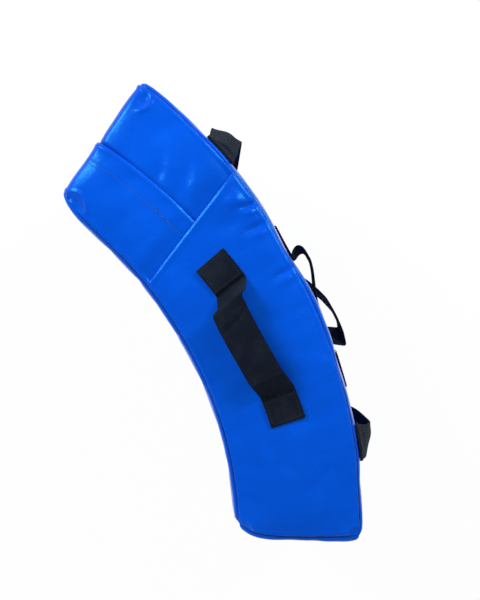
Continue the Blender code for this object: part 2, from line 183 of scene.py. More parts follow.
def sideRise(s, t):  # height of a side face over its seams
    inFromLong = rise(inFromSeams(s, t), shield["sideShoulder"])
    inFromClosed = rise(s - closedSeam(t), shield["sideShoulder"])
    return shield["sideCrown"] * inFromLong * inFromClosed


def faceEnds(side):  # where the strike face or the back starts and ends
    return closedSeam(side * seamOut(-halfLength, side)), mouthEnd(side * seamOut(halfLength, side))


def mouthSink(fromEnd):  # how far the cover sinks towards the mouth end
    return shield["mouthDrop"] * np.exp(-np.maximum(fromEnd, 0) / shield["mouthShoulder"])


def faceSpan(s, side):  # heights of the strike face's or the back's long seams
    last = faceEnds(side)[1]
    inTurn = np.clip(s - last + shield["endRound"], 0, shield["endRound"])
    cut = shield["endRound"] - np.sqrt(shield["endRound"] ** 2 - inTurn**2) + mouthSink(last - s)
    return seamLow + cut, seamHigh - cut


def faceRise(s, z, side):  # how far the strike face or the back stands out past its seams
    low, high = faceSpan(s, side)
    first, last = faceEnds(side)
    mouthShoulder = shield["strikeMouthShoulder" if side < 0 else "backMouthShoulder"]
    along = rise(s - first, shield["endShoulder"]) * rise(last - s, mouthShoulder)
    across = rise(z - low, shield["faceShoulder"]) * rise(high - z, shield["faceShoulder"])
    if side < 0:
        return shield["strikeCrown"] * across * along
    gentle = rise(z - low, shield["flatShoulder"]) * rise(high - z, shield["flatShoulder"])
    drawn = shield["handlePull"] * np.maximum.reduce(handlesNear(s))
    return shield["backCrown"] * mix(across, gentle, drawn) * along


# Grids of points: rows run along the shield and columns across it

seamSteps = np.array([0, 0.8, 1.6, 2.6, 3.8, 5.2, 7, 9, 11, 13.2]) / 1000  # finer beside a seam


def stations(length, step, startSeam, endSeam):  # shares of a length, finer beside its seams
    start = seamSteps if startSeam else seamSteps[:1]
    end = length - (seamSteps if endSeam else seamSteps[:1])[::-1]
    count = max(2, round((end[0] - start[-1]) / step) + 1)
    return np.concatenate([start, np.linspace(start[-1], end[0], count)[1:-1], end]) / length


def normalsOf(points, outward):
    along = np.gradient(points, axis=0)
    across = np.gradient(points, axis=1)
    normal = np.cross(across, along)
    normal /= np.maximum(np.linalg.norm(normal, axis=-1, keepdims=True), 1e-12)
    return normal * np.sign((normal * outward).sum(-1).mean())


def runs(points, axis):  # distance along rows or columns, from the first
    steps = np.linalg.norm(np.diff(points, axis=axis), axis=-1)
    start = np.zeros_like(steps[:1] if axis == 0 else steps[:, :1])
    return np.concatenate([start, np.cumsum(steps, axis=axis)], axis=axis)


def resample(field, rowsAt, columnsAt):  # a coarse grid's field at shares of its rows and columns
    r = rowsAt * (field.shape[0] - 1)
    c = columnsAt * (field.shape[1] - 1)
    r0 = np.minimum(r.astype(int), field.shape[0] - 2)
    c0 = np.minimum(c.astype(int), field.shape[1] - 2)
    fr, fc = (r - r0)[:, None], (c - c0)[None, :]
    low = field[r0][:, c0] * (1 - fc) + field[r0][:, c0 + 1] * fc
    high = field[r0 + 1][:, c0] * (1 - fc) + field[r0 + 1][:, c0 + 1] * fc
    return low * (1 - fr) + high * fr


def blur(field, passes):
    for _ in range(passes):
        wide = np.pad(field, 1, mode="edge")
        field = (wide[:-2, 1:-1] + wide[2:, 1:-1] + wide[1:-1, :-2] + wide[1:-1, 2:] + 2 * field) / 6
    return field


def foldUnder(points, normals, radius, depth):  # turns the last row under and carries it back
    out = points[-1] - points[-2]
    out /= np.linalg.norm(out, axis=-1, keepdims=True)
    turn = [
        points[-1] + out * radius * math.sin(a) - normals[-1] * radius * (1 - math.cos(a))
        for a in np.linspace(0, math.pi, 8)[1:-1]
    ]
    inFromEdge = runs(points[::-1], 0).mean(1)
    kept = [-1 - k for k in range(len(points)) if inFromEdge[k] <= depth]
    back = [points[k] - normals[k] * 2 * radius for k in kept]
    return np.concatenate([points, np.array(turn), np.array(back)])


def addPiece(name, data):
    piece = bpy.data.objects.new(name, data)
    scene.collection.objects.link(piece)
    return piece


def addWall(piece, thickness, offset):
    wall = piece.modifiers.new("Wall", "SOLIDIFY")
    wall.thickness = thickness
    wall.offset = offset


def applyModifiers(piece):
    shaped = piece.evaluated_get(bpy.context.evaluated_depsgraph_get())
    old, made = piece.data, bpy.data.meshes.new_from_object(shaped)
    piece.modifiers.clear()
    piece.data = made
    bpy.data.meshes.remove(old)
    made.name = piece.name
    return made


def weaveAt(points):  # places on the flat cloth, across and along
    return np.stack([runs(points, 1), runs(points, 0)], -1)


def gridMesh(name, points, fabricAt, crevice=None):  # fabricAt: places on the flat cloth, in metres
    rows, columns = points.shape[:2]
    index = np.arange(rows * columns).reshape(rows, columns)
    faces = np.stack([index[:-1, :-1], index[:-1, 1:], index[1:, 1:], index[1:, :-1]], -1).reshape(-1, 4)
    mesh = bpy.data.meshes.new(name)
    mesh.from_pydata(points.reshape(-1, 3).tolist(), [], faces.tolist())
    layer = mesh.uv_layers.new(name="fabric")
    layer.data.foreach_set("uv", fabricAt.reshape(-1, 2)[faces.ravel()].astype(np.float32).ravel())
    # painted shade, stored on each point for the blue finish to darken the cloth with
    if crevice is not None:
        mesh.attributes.new("crevice", "FLOAT", "POINT").data.foreach_set("value", crevice.ravel())
    mesh.shade_smooth()
    return addPiece(name, mesh)


def faceOutward(piece, normals, columns=None):  # turns the faces over if the grid runs the other way
    mesh = piece.data
    row, column = normals.shape[0] // 2, normals.shape[1] // 2
    polygon = mesh.polygons[row * ((columns or normals.shape[1]) - 1) + column]
    if polygon.normal.dot(Vector(normals[row, column])) < 0:
        mesh.flip_normals()


# Shapes pressed into a panel

def ridge(at, route, height, reach, ends=0.010):  # a raised fold along a route, or a valley below 0
    best = np.full(at.shape[:-1], 1e9)
    fade = np.zeros(at.shape[:-1])
    route = np.array(route, float) / 1000
    lengths = np.linalg.norm(np.diff(route, axis=0), axis=1)
    whole = lengths.sum()
    done = 0.0
    for start, end, length in zip(route, route[1:], lengths):
        x = np.clip(((at - start) @ (end - start)) / length**2, 0, 1)
        gap = np.linalg.norm(at - start - x[..., None] * (end - start), axis=-1)
        along = done + x * length
        near = gap < best
        fade = np.where(near, np.minimum(1, np.minimum(along, whole - along) / ends + 0.15), fade)
        best = np.minimum(best, gap)
        done += length
    return height / 1000 * fade * bell(best, reach / 1000)


def hollow(at, centre, reach, turn, depth):  # an oval dent
    a = math.radians(turn)
    d = (at - np.array(centre) / 1000) * 1000
    x = (d[..., 0] * math.cos(a) + d[..., 1] * math.sin(a)) / reach[0]
    y = (-d[..., 0] * math.sin(a) + d[..., 1] * math.cos(a)) / reach[1]
    return -depth / 1000 * np.exp(-((x * x + y * y) ** 1.5))


def waves(at, seed, length, height):  # slow random swell, the same each run
    random = np.random.default_rng(seed)
    total = np.zeros(at.shape[:-1])
    for _ in range(9):
        way = random.uniform(0, math.pi)
        size = length * random.uniform(0.6, 1.6)
        phase = (at[..., 0] * math.cos(way) + at[..., 1] * math.sin(way)) * 2 * math.pi / size
        total += np.sin(phase + random.uniform(0, 2 * math.pi))
    return height * total / 3


sewing = {
    "groove": 0.0019,  # depth of a seam
    "grooveMore": 0.0004,  # how much that varies, once over each grooveRun
    "grooveRun": 0.31,
    "grooveReach": 0.0011,
    "turnedIn": 0.0007,  # height of the turned-in cloth beside it
    "turnedInStart": (0.0010, 0.0026),
    "turnedInStop": (0.0062, 0.0080),
    "lip": (0.0005, 0.0058, 0.0013),  # its edge: height, distance from the seam and reach
    "puckers": 6,
    "puckerLength": (0.013, 0.034),
    "puckerHeight": 0.00010,
    "puckerReach": 0.010,
    "puckerRun": 0.23,  # they come and go over this
}


def seamDraw(distance, along, seed):  # the groove, the turned-in edge beside it and the small puckers
    wave = np.sin(along * 2 * math.pi / sewing["grooveRun"] + seed * 2.1)
    depth = sewing["groove"] + sewing["grooveMore"] * wave
    groove = -depth * bell(distance, sewing["grooveReach"])
    doubled = smooth(distance, *sewing["turnedInStart"]) * (1 - smooth(distance, *sewing["turnedInStop"]))
    lip, lipAt, lipReach = sewing["lip"]
    edge = sewing["turnedIn"] * doubled + lip * bell(distance - lipAt, lipReach)
    random = np.random.default_rng(seed)
    pucker = np.zeros_like(distance)
    for _ in range(sewing["puckers"]):
        size = random.uniform(*sewing["puckerLength"])
        pucker += np.sin(along * 2 * math.pi / size + random.uniform(0, 2 * math.pi))
    strength = 0.5 + 0.5 * np.sin(along * 2 * math.pi / sewing["puckerRun"] + seed)
    pucker = sewing["puckerHeight"] * pucker * strength * np.exp(-distance / sewing["puckerReach"])
    return groove + edge + pucker


print("shield coordinates ready")


# Cover panels: each place function takes shares across and along, and gives the points, their place on the
# cloth (along, across) and their distances to the panel's seams

closure = {
    "edgeAtHem": 0.0118,  # the outer flap's free edge, as t
    "edgeAtEnd": -0.0025,
    "overlap": 0.032,  # how far the inner flap reaches under it
    "underHem": 0.0046,  # how far the flaps lie below the side panels at the hems
    "fromHem": (0.002, 0.035),  # from the hem, where that starts and stops to fade
    "underFlap": 0.0048,  # how far the inner flap lies below the cover under the outer one
    "fromEdge": (-0.004, 0.006),  # from the outer flap's edge, where that starts and stops to fade
    "endLess": 0.25,  # at the mouth end it lies less far below
    "endKept": 0.35,  # and stays a little lower past the edge too
    "fromSeam": 0.010,
    "hemRadius": 0.0015,
    "hemLift": 0.0018,  # how far the free edges stand up
    "liftReach": 0.007,
    "hemRoll": 0.0021,  # how far they turn down again at the very edge
    "rollReach": 0.0042,
    "rollCurve": 1.15,
    "shade": 0.0022,  # reach of the painted shadow beside a free edge
    "shadeDeep": 0.85,
    "shadeWide": 0.30,
    "hemDepth": 0.022,
    "flapFold": 0.029,
    "stitchRow": 0.0275,  # from the outer flap's free edge to its row of stitches
    "rowSink": (0.0005, 0.0014),  # how far the row pulls the cloth down, and its reach
    "layerStep": (0.0004, 0.002, 0.006),  # one layer of cloth past the row, two before it
    "lying": (0.02, 0.08),  # heights below which the floor keeps the free edges flat
}
roundReach = shield["endRound"]


def sidePlace(resting):
    def place(u, v):
        s = np.zeros_like(u)
        for _ in range(3):  # s and t depend on each other a little
            t = mix(-seamOut(s, -1), seamOut(s, 1), u)
            s = mix(closedSeam(t), hemAt(t), v)
        z = seamHigh + sideRise(s, t)
        seams = [t + seamOut(s, -1), seamOut(s, 1) - t, s - closedSeam(t)]
        return toWorld(s, t, width - z if resting else z), np.stack([s, t], -1), seams

    return place


def facePlace(side):
    def place(u, v):
        first, last = faceEnds(side)
        s = mix(first, last, v)
        low, high = faceSpan(s, side)
        z = mix(low, high, u)
        t = side * (seamOut(s, side) + faceRise(s, z, side))
        return toWorld(s, t, z), np.stack([s, z], -1), [z - low, high - z, s - first, last - s]

    return place


def closedPlace(u, v):
    strikeSeam, backSeam = seamOut(-halfLength, -1), seamOut(-halfLength, 1)
    t = mix(-strikeSeam, backSeam, u)
    z = mix(seamLow, seamHigh, v)
    seams = [t + strikeSeam, backSeam - t, z - seamLow, seamHigh - z]
    s = closedSeam(t) - shield["endCrown"] * rise(np.minimum.reduce(seams), shield["endShoulder"])
    return toWorld(s, t, z), np.stack([z, t], -1), seams


def flapEdge(s):
    hem = hemAt(0)
    return mix(closure["edgeAtHem"], closure["edgeAtEnd"], np.clip((s - hem) / (halfLength - hem), 0, 1))


sideRun = shield["mouthLength"] + shield["tuck"] - roundReach
turnRun = roundReach * math.pi / 2
endRun = width - 2 * roundReach
flapRun = 2 * (sideRun + turnRun) + endRun


def flapPlace(outer):
    def place(u, v):
        path = v * flapRun
        mirrored = path > flapRun / 2
        path = np.where(mirrored, flapRun - path, path)
        onSide = np.clip(path / sideRun, 0, 1)
        angle = np.clip((path - sideRun) / turnRun, 0, 1) * math.pi / 2
        down = np.maximum(path - sideRun - turnRun, 0)
        s = np.full_like(path, halfLength)
        for _ in range(3):
            seam = -seamOut(s, -1) if outer else seamOut(s, 1)
            free = flapEdge(s) - (0 if outer else closure["overlap"])
            t = mix(seam, free, u) if outer else mix(free, seam, u)
            turnAt = mouthEnd(t) - roundReach
            s = mix(hemAt(t) - shield["tuck"], turnAt, onSide) + roundReach * np.sin(angle)
        inFromSeam = inFromSeams(s, t)
        top = seamHigh + shield["sideCrown"] * rise(inFromSeam, shield["sideShoulder"])
        top = top - mouthSink(mouthEnd(t) - s)
        below = closure["underHem"] * (1 - smooth(s - hemAt(t), *closure["fromHem"]))
        if not outer:
            pastEdge = smooth(t - flapEdge(s), *closure["fromEdge"])
            less, kept = closure["endLess"] * np.sin(angle), closure["endKept"] * np.sin(angle)
            under = (1 - less) * (1 - (1 - kept) * pastEdge)
            below = below + closure["underFlap"] * under
        below = below * smooth(inFromSeam, 0, closure["fromSeam"])
        turned = top - roundReach
        z = mix(turned, width - turned, down / endRun) + roundReach * np.cos(angle) - below * np.cos(angle)
        s = s - below * np.sin(angle)
        along = np.where(mirrored, halfLength * 2 + width - s, s)
        onEnd = (down - endRun / 2) * np.where(mirrored, -1, 1)
        along = np.where(down > 0, halfLength + width / 2 + onEnd, along)
        z = np.where(mirrored, width - z, z)
        return toWorld(s, t, z), np.stack([along, t], -1), [inFromSeam]

    return place


# What the cloth of each panel shows, placed as (s, t) or (s, z) in millimetres. Folds: route, height, reach,
# and in metres how soon the ends fade. Dents: centre, reaches, turn in degrees and depth. Swells: seed, then
# length and height in metres

pressed = {
    "near_side_cover": {
        "folds": [
            ([(119, 97), (122, 84), (127, 70)], -4.2, 3.4, 0.010),
            ([(112, 93), (114, 82), (118, 71)], 2.6, 5.0, 0.012),
            ([(136, 90), (138, 74), (143, 58)], 3.4, 8.0, 0.014),
            ([(92, 95), (94, 77), (97, 54)], -4.0, 5.0, 0.020),
            ([(84, 92), (85, 77), (88, 58)], 2.0, 6.5, 0.018),
            ([(110, 72), (116, 48), (124, 15)], -3.6, 12, 0.030),
            ([(160, 90), (140, 90.5), (120, 93)], 0.8, 3, 0.015),
            ([(28, 93), (27, 76), (26, 56)], -3.8, 5.0, 0.020),
            ([(20, 92), (19, 76), (17, 58)], 2.0, 6.5, 0.018),
            ([(-24, 60), (-22, 75), (-20, 90)], -1.4, 7, 0.020),
            ([(-120, 84), (-124, 64), (-132, 46)], -1.2, 9, 0.025),
            ([(-324, 60), (-314, 66), (-309, 76), (-308, 84)], 1.8, 3.2, 0.008),
            ([(-299, -81), (-300, -68), (-309, -60)], 0.9, 4, 0.010),
        ],
        "dents": [((-318, 74), (13, 9), 40, 2.5), ((-306, -77), (12, 7), -40, 2.5)],
        "swells": [(5, 0.16, 0.0006)],
    },
    "far_side_cover": {"swells": [(21, 0.12, 0.0004)]},
    "strike_cover": {
        "folds": [
            ([(132, 392), (134, 340)], -2.2, 5, 0.020),
            ([(130, 8), (133, 60)], -1.8, 6, 0.020),
            ([(20, 392), (24, 352)], -1.5, 5, 0.015),
        ],
        "swells": [(31, 0.20, 0.0007), (32, 0.07, 0.0002)],
    },
    "back_cover": {
        "folds": [([(172, 20), (176, 200), (172, 380)], -0.8, 9, 0.030)],
        "swells": [(41, 0.20, 0.0006), (42, 0.07, 0.0002)],
    },
    "closed_end_cover": {"swells": [(51, 0.12, 0.0008), (52, 0.05, 0.0003)]},
    "outer_flap": {
        "folds": [
            ([(314, -83), (303, -77), (292, -75), (280, -79), (270, -88), (266, -94)], 2.3, 1.9, 0.006),
            ([(306, -88), (294, -84), (280, -86)], 0.8, 1.8, 0.006),
            ([(298, -93), (286, -90), (276, -91)], 0.8, 1.6, 0.006),
            ([(262, -60), (215, -66)], 0.5, 9, 0.020),
        ],
        "dents": [((290, -90), (19, 8), 14, 3.8), ((308, -91), (6, 5), 0, 3.0)],
        "swells": [(8, 0.05, 0.00028), (9, 0.14, 0.0004)],
    },
    "inner_flap": {
        "folds": [
            ([(309, 96), (301, 88), (299, 76), (303, 68), (308, 62)], 2.2, 3.0, 0.007),
            ([(312, 92), (306, 86)], -1.3, 2.0, 0.004),
            ([(246, 66), (206, 10)], 2.5, 11, 0.040),
            ([(240, 38), (220, 4)], -2.2, 8, 0.020),
            ([(222, 70), (180, 12)], -2.4, 10, 0.040),
            ([(206, 72), (160, 20)], 2.3, 10, 0.040),
        ],
        "dents": [((308, 84), (6.5, 11), 10, 3.0)],
        "swells": [(12, 0.06, 0.00025), (13, 0.15, 0.0006)],
    },
}


def pressedShapes(name, at):
    shapes = [(ridge, "folds"), (hollow, "dents"), (waves, "swells")]
    return sum(shape(at, *row) for shape, kind in shapes for row in pressed[name].get(kind, []))


panels = {
    "near_side_cover": {
        "place": sidePlace(False), "size": (0.188, 0.485), "fine": True,
        "way": (0, 0, 1), "body": "root", "replaces": ["near_side_panel"], "rests": ["foam_block_core"],
    },
    "far_side_cover": {
        "place": sidePlace(True), "size": (0.188, 0.485),
        "way": (0, 0, -1), "body": "root", "replaces": ["far_side_panel"], "rests": ["foam_block_core"],
    },
    "strike_cover": {
        "place": facePlace(-1), "size": (0.392, 0.57),
        "way": (-1, 0, 0), "body": ("root", "outer_mouth"),
        "replaces": ["strike_panel", "strike_panel_mouth"], "rests": ["foam_block_strike"],
    },
    "back_cover": {
        "place": facePlace(1), "size": (0.392, 0.73),
        "way": (1, 0, 0), "body": ("root", "inner_mouth"),
        "replaces": ["back_panel", "back_panel_mouth"], "rests": ["foam_block_back"],
    },
    "closed_end_cover": {
        "place": closedPlace, "size": (0.174, 0.392),
        "way": (-0.4, -0.9, 0), "body": "root", "replaces": ["bottom_end_panel"],
        "rests": ["foam_block_core"],
    },
    "outer_flap": {
        "place": flapPlace(True), "size": (0.100, flapRun), "sewnSides": (True, True, False, False),
        "fine": True,
        "way": None, "body": "outer_mouth", "replaces": ["outer_closure_flap"], "rests": ["inner_flap"],
    },
    "inner_flap": {
        "place": flapPlace(False), "size": (0.126, flapRun), "sewnSides": (False, True, False, False),
        "fine": True,
        "way": None, "body": "inner_mouth", "replaces": ["inner_closure_flap"], "rests": ["foam_block_core"],
    },
}
insideMouth = toWorld(0.12, 0.0, width / 2)  # the flaps face away from here


def outwardOf(panel, points):  # which way is out, at each point
    if panel["way"]:
        return np.array(panel["way"], float)
    return points - insideMouth


# Cloth: every panel is pinned at its seams, cut a little too large and blown out by the foam

fabric = {
    "thickness": 0.0009,
    "clearance": 0.0002,  # from the floor to the cloth that lies on it
    "spare": 0.012,  # how much larger each panel is cut than its place
    "unevenness": (0.05, 0.0003),  # length and height of the waves that start the folds
    "step": 0.007,
    "frames": 20,
    "folds": 0.40,  # share kept of the folds that the simulation makes
    "swell": 0.06,  # share kept of the swell under them
    "most": 0.0016,  # cap on how far a point may move
    "calmSeam": 0.006,  # no folds this close to a seam
    "calmEdge": 0.016,  # or to a free edge
}
clothSettings = {
    "quality": 5, "mass": 0.4, "tension_stiffness": 30, "compression_stiffness": 30, "shear_stiffness": 15,
    "bending_stiffness": 6.0, "air_damping": 5, "vertex_group_mass": "seams", "shrink_min": -fabric["spare"],
    "shrink_max": -fabric["spare"], "use_pressure": True, "uniform_pressure_force": 4.0,
}


def settleCloth():
    trials = {}
    for number, (name, panel) in enumerate(panels.items()):
        wide, long = panel["size"]
        columns, rows = round(wide / fabric["step"]) + 1, round(long / fabric["step"]) + 1
        u, v = np.meshgrid(np.linspace(0, 1, columns), np.linspace(0, 1, rows))
        points, at, _ = panel["place"](u, v)
        normals = normalsOf(points, outwardOf(panel, points))
        start = points + normals * waves(at, 60 + number, *fabric["unevenness"])[..., None]
        trial = gridMesh(name + "_trial", start, at)
        faceOutward(trial, normals)
        index = np.arange(u.size).reshape(u.shape)
        border = np.concatenate([index[0], index[-1], index[:, 0], index[:, -1]])
        pinned = trial.vertex_groups.new(name="seams")
        pinned.add(sorted(set(int(n) for n in border)), 1, "REPLACE")
        cloth = trial.modifiers.new("Cloth", "CLOTH")
        cloth.collision_settings.use_collision = False
        cloth.settings.effector_weights.gravity = 0
        for key, value in clothSettings.items():
            setattr(cloth.settings, key, value)
        trials[name] = (trial, points, normals)
    for number in range(1, fabric["frames"] + 1):
        scene.frame_set(number)
    depsgraph = bpy.context.evaluated_depsgraph_get()
    heights = {}
    for name, (trial, points, normals) in trials.items():
        moved = np.empty(points.size)
        trial.evaluated_get(depsgraph).data.vertices.foreach_get("co", moved)
        height = ((moved.reshape(points.shape) - points) * normals).sum(-1)
        swell = blur(height, 30)
        kept = fabric["folds"] * blur(height - swell, 1) + fabric["swell"] * swell
        heights[name] = np.clip(kept, -fabric["most"], fabric["most"])
        print(name, "folds", np.round(kept.min() * 1000, 2), "to", np.round(kept.max() * 1000, 2), "mm")
    for trial, _, _ in trials.values():
        mesh = trial.data
        bpy.data.objects.remove(trial)
        bpy.data.meshes.remove(mesh)
    scene.frame_set(1)
    return heights


clothHeights = settleCloth()
print("cloth settled")


# painted shade along the seam grooves reaches 0.7 mm from each seam
panelLook = {"step": 0.0045, "fineStep": 0.0022, "crevice": 0.0007, "fromSeam": 0.003, "hemFromSeam": 0.012}


def edgeRoll(toFree, lying):  # a free edge stands up a little and turns down again at its end
    lift = closure["hemLift"] * (1 - lying) * bell(toFree, closure["liftReach"])
    turn = np.clip(1 - toFree / closure["rollReach"], 0, 1) ** closure["rollCurve"]
    return lift - closure["hemRoll"] * turn


def paintedShadowBeside(crevice, distance):  # painted shadow on the cloth beside an edge that lies over it
    deep = closure["shadeDeep"] * bell(distance, closure["shade"])
    wide = closure["shadeWide"] * np.exp(-np.abs(distance) / (3 * closure["shade"]))
    return np.maximum.reduce([crevice, deep, wide])


def makePanel(name, panel, step):
    wide, long = panel["size"]
    left, right, first, last = panel.get("sewnSides", (True, True, True, True))
    us, vs = stations(wide, step, left, right), stations(long, step, first, last)
    u, v = np.meshgrid(us, vs)
    points, at, seams = panel["place"](u, v)
    distance = np.minimum.reduce(seams)
    normals = normalsOf(points, outwardOf(panel, points))
    s, t = at[..., 0], at[..., 1]
    hemmed, lapped = name.endswith("side_cover"), name == "outer_flap"
    toFree = np.ones_like(s)  # to the free edge, where the panel has one
    if hemmed:
        toFree = hemAt(t) - s
    if lapped:
        toFree = flapEdge(s) - t
    height = pressedShapes(name, at) * smooth(distance, 0, panelLook["fromSeam"])
    if name in clothHeights:
        kept = smooth(distance, 0, fabric["calmSeam"]) * smooth(toFree, 0, fabric["calmEdge"])
        height = height + resample(clothHeights[name], vs, us) * kept
    height = height + seamDraw(distance, at.sum(-1), len(name))
    # painted shade: the cloth is darkened in each seam's groove, where shade falls
    crevice = bell(distance, panelLook["crevice"])
    lying = 1 - smooth(points[..., 2], *closure["lying"])
    if hemmed:
        height = height + edgeRoll(toFree, lying) * smooth(distance, 0, panelLook["hemFromSeam"])
    if lapped:
        fromRow = toFree - closure["stitchRow"]
        sink, reach = closure["rowSink"]
        layer, start, end = closure["layerStep"]
        height = height + edgeRoll(toFree, lying) - sink * bell(fromRow, reach)
        height = height - layer * smooth(fromRow, start, end)
    # painted shadow on the flaps beside the side panels' hems, and on the inner flap beside the outer flap's
    # free edge
    if name.endswith("flap"):
        crevice = paintedShadowBeside(crevice, s - hemAt(t))
    if name == "inner_flap":
        crevice = paintedShadowBeside(crevice, t - flapEdge(s))
    points = points + normals * height[..., None]
    cloth = at[..., ::-1]
    if hemmed:
        points = foldUnder(points, normals, closure["hemRadius"], closure["hemDepth"])
    if lapped:
        sideways = points.swapaxes(0, 1), normals.swapaxes(0, 1)
        points = foldUnder(*sideways, closure["hemRadius"], closure["flapFold"]).swapaxes(0, 1)
    if points.shape[:2] != at.shape[:2]:  # the turned-under cloth carries on the same weave
        cloth = weaveAt(points)
        crevice = np.pad(crevice, [(0, a - b) for a, b in zip(points.shape, crevice.shape)])
    points[..., 2] = np.maximum(points[..., 2], fabric["clearance"])
    piece = gridMesh(name, points, cloth, crevice)
    faceOutward(piece, normals, points.shape[1])
    addWall(piece, fabric["thickness"], -1)
    return piece


coverPieces = {
    name: makePanel(name, panel, panelLook["fineStep" if panel.get("fine") else "step"])
    for name, panel in panels.items()
}
print("cover made")


# Finishes. A Wire is a socket that arithmetic can be written with

class Wire:
    def __init__(self, finish, socket):
        self.finish = finish
        self.socket = socket

    def maths(self, operation, *values):
        return self.finish.node("ShaderNodeMath", {"operation": operation}, dict(enumerate(values)))

    def __add__(self, other):
        return self.maths("ADD", self, other)

    def __mul__(self, other):
        return self.maths("MULTIPLY", self, other)

    def wave(self, length):  # -1 to 1, once over each length
        return self.maths("SINE", self * (2 * math.pi / length))

    def band(self, low, high):  # 0 below low, 1 above high
        settings = {"interpolation_type": "SMOOTHSTEP"}
        return self.finish.node("MapRange", settings, {"Value": self, "From Min": low, "From Max": high})

    __radd__ = __add__
    __rmul__ = __mul__


class NodeSheet:
    prefix = "GeometryNode"

    def __init__(self, tree):
        self.tree = tree
        tree.nodes.clear()

    def node(self, kind, settings, values, output=0):
        whole = kind if kind.startswith(("FunctionNode", "NodeGroup", "ShaderNode")) else self.prefix + kind
        made = self.tree.nodes.new(whole)
        for key, value in settings.items():
            setattr(made, key, value)
        for key, value in values.items():
            if isinstance(value, Wire):
                self.tree.links.new(value.socket, made.inputs[key])
            else:
                made.inputs[key].default_value = value
        return Wire(self, made.outputs[output]) if len(made.outputs) else None

    def entry(self, wanted):  # a geometry tree's named inputs: name to (socket kind, default)
        plug = self.tree.interface.new_socket
        plug("Geometry", in_out="INPUT", socket_type="NodeSocketGeometry")
        for name, (kind, value) in wanted.items():
            made = plug(name, in_out="INPUT", socket_type="NodeSocket" + kind)
            if value is not None:
                made.default_value = value
        plug("Geometry", in_out="OUTPUT", socket_type="NodeSocketGeometry")
        made = self.tree.nodes.new("NodeGroupInput")
        return {s.name: Wire(self, s) for s in made.outputs if s.name}


class Finish(NodeSheet):
    prefix = "ShaderNode"

    def __init__(self, owner):  # a material or the world
        self.owner = bpy.data.materials.new(owner) if isinstance(owner, str) else owner
        self.owner.use_nodes = True
        super().__init__(self.owner.node_tree)

    def place(self):  # the piece's own coordinates, in metres
        return self.node("TexCoord", {}, {}, "Object")

    def cloth(self):  # across and along the cloth, in metres
        flat = self.node("UVMap", {"uv_map": "fabric"}, {})
        return flat, *(self.node("SeparateXYZ", {}, {0: flat}, axis) for axis in "XY")

    def noise(self, at, scale, detail=2.0, roughness=0.5):
        values = {"Vector": at, "Scale": scale, "Detail": detail, "Roughness": roughness}
        return self.node("TexNoise", {}, values, "Fac")

    def colours(self, factor, first, second):  # sockets 6, 7 and 2 are the ones for colours
        first, second = [c if isinstance(c, Wire) else (*c, 1) for c in (first, second)]
        return self.node("Mix", {"data_type": "RGBA"}, {0: factor, 6: first, 7: second}, 2)

    def bumps(self, height, depth, under=None):
        values = {"Height": height, "Distance": depth, "Strength": 1.0}
        if under is not None:
            values["Normal"] = under
        return self.node("Bump", {}, values)

    def surface(self, **values):
        spelled = {key.replace("_", " "): value for key, value in values.items()}
        shader = self.node("BsdfPrincipled", {}, spelled)
        self.node("OutputMaterial", {}, {"Surface": shader})
        return self.owner


cover = {
    "blue": (0.0002, 0.078, 0.70),
    "paleBlue": (0.0006, 0.098, 0.78),
    "deepBlue": (0.0001, 0.067, 0.62),
    "scrim": 0.0013,  # pitch of the scrim that shows through the coating
    # colour of the painted shade in the seam grooves and beside edges that lie over the cloth
    "creviceBlue": (0.0003, 0.014, 0.16),
    "glossTint": (0.05, 0.60, 1.0),
}


def coatedFabric():
    finish = Finish("blue_coated_fabric")
    place = finish.place()
    flat, across, along = finish.cloth()
    patches = finish.noise(place, 7.0, 3.0).band(0.38, 0.66)
    rubbed = finish.noise(place, 21.0, 4.0, 0.6).band(0.52, 0.72)
    colour = finish.colours(patches, cover["deepBlue"], cover["blue"])
    colour = finish.colours(rubbed * 0.4, colour, cover["paleBlue"])
    # painted shade from the mesh's attribute darkens the blue in seam grooves and beside edges that lie over
    # the cloth
    crevice = finish.node("Attribute", {"attribute_name": "crevice"}, {}, "Fac")
    colour = finish.colours(crevice * 0.8, colour, cover["creviceBlue"])
    weave = across.wave(cover["scrim"]) * along.wave(cover["scrim"])
    grain = finish.noise(flat, 1500.0, 2.0)
    crush = finish.noise(place, 55.0, 3.0, 0.55)
    soft = finish.bumps(crush, 0.0006)
    normal = finish.bumps(weave * 0.35 + grain * 0.6, 0.00005, soft)
    rough = finish.noise(place, 34.0, 3.0) * 0.12 + grain * 0.06 + 0.19
    return finish.surface(
        Base_Color=colour, Roughness=rough, Normal=normal, IOR=1.36, Specular_IOR_Level=0.95,
        Specular_Tint=(*cover["glossTint"], 1),
    )


webbingLook = {
    "black": (0.0038, 0.0057, 0.0122),
    # lighter colour, for faded patches and for a painted highlight on the ribs' raised tops
    "worn": (0.0185, 0.0250, 0.0400),
    "rib": 0.0026,  # pitch of the ribs along the webbing
    "warp": 0.0031,  # pitch of the yarns across it
    "slant": 0.32,
}


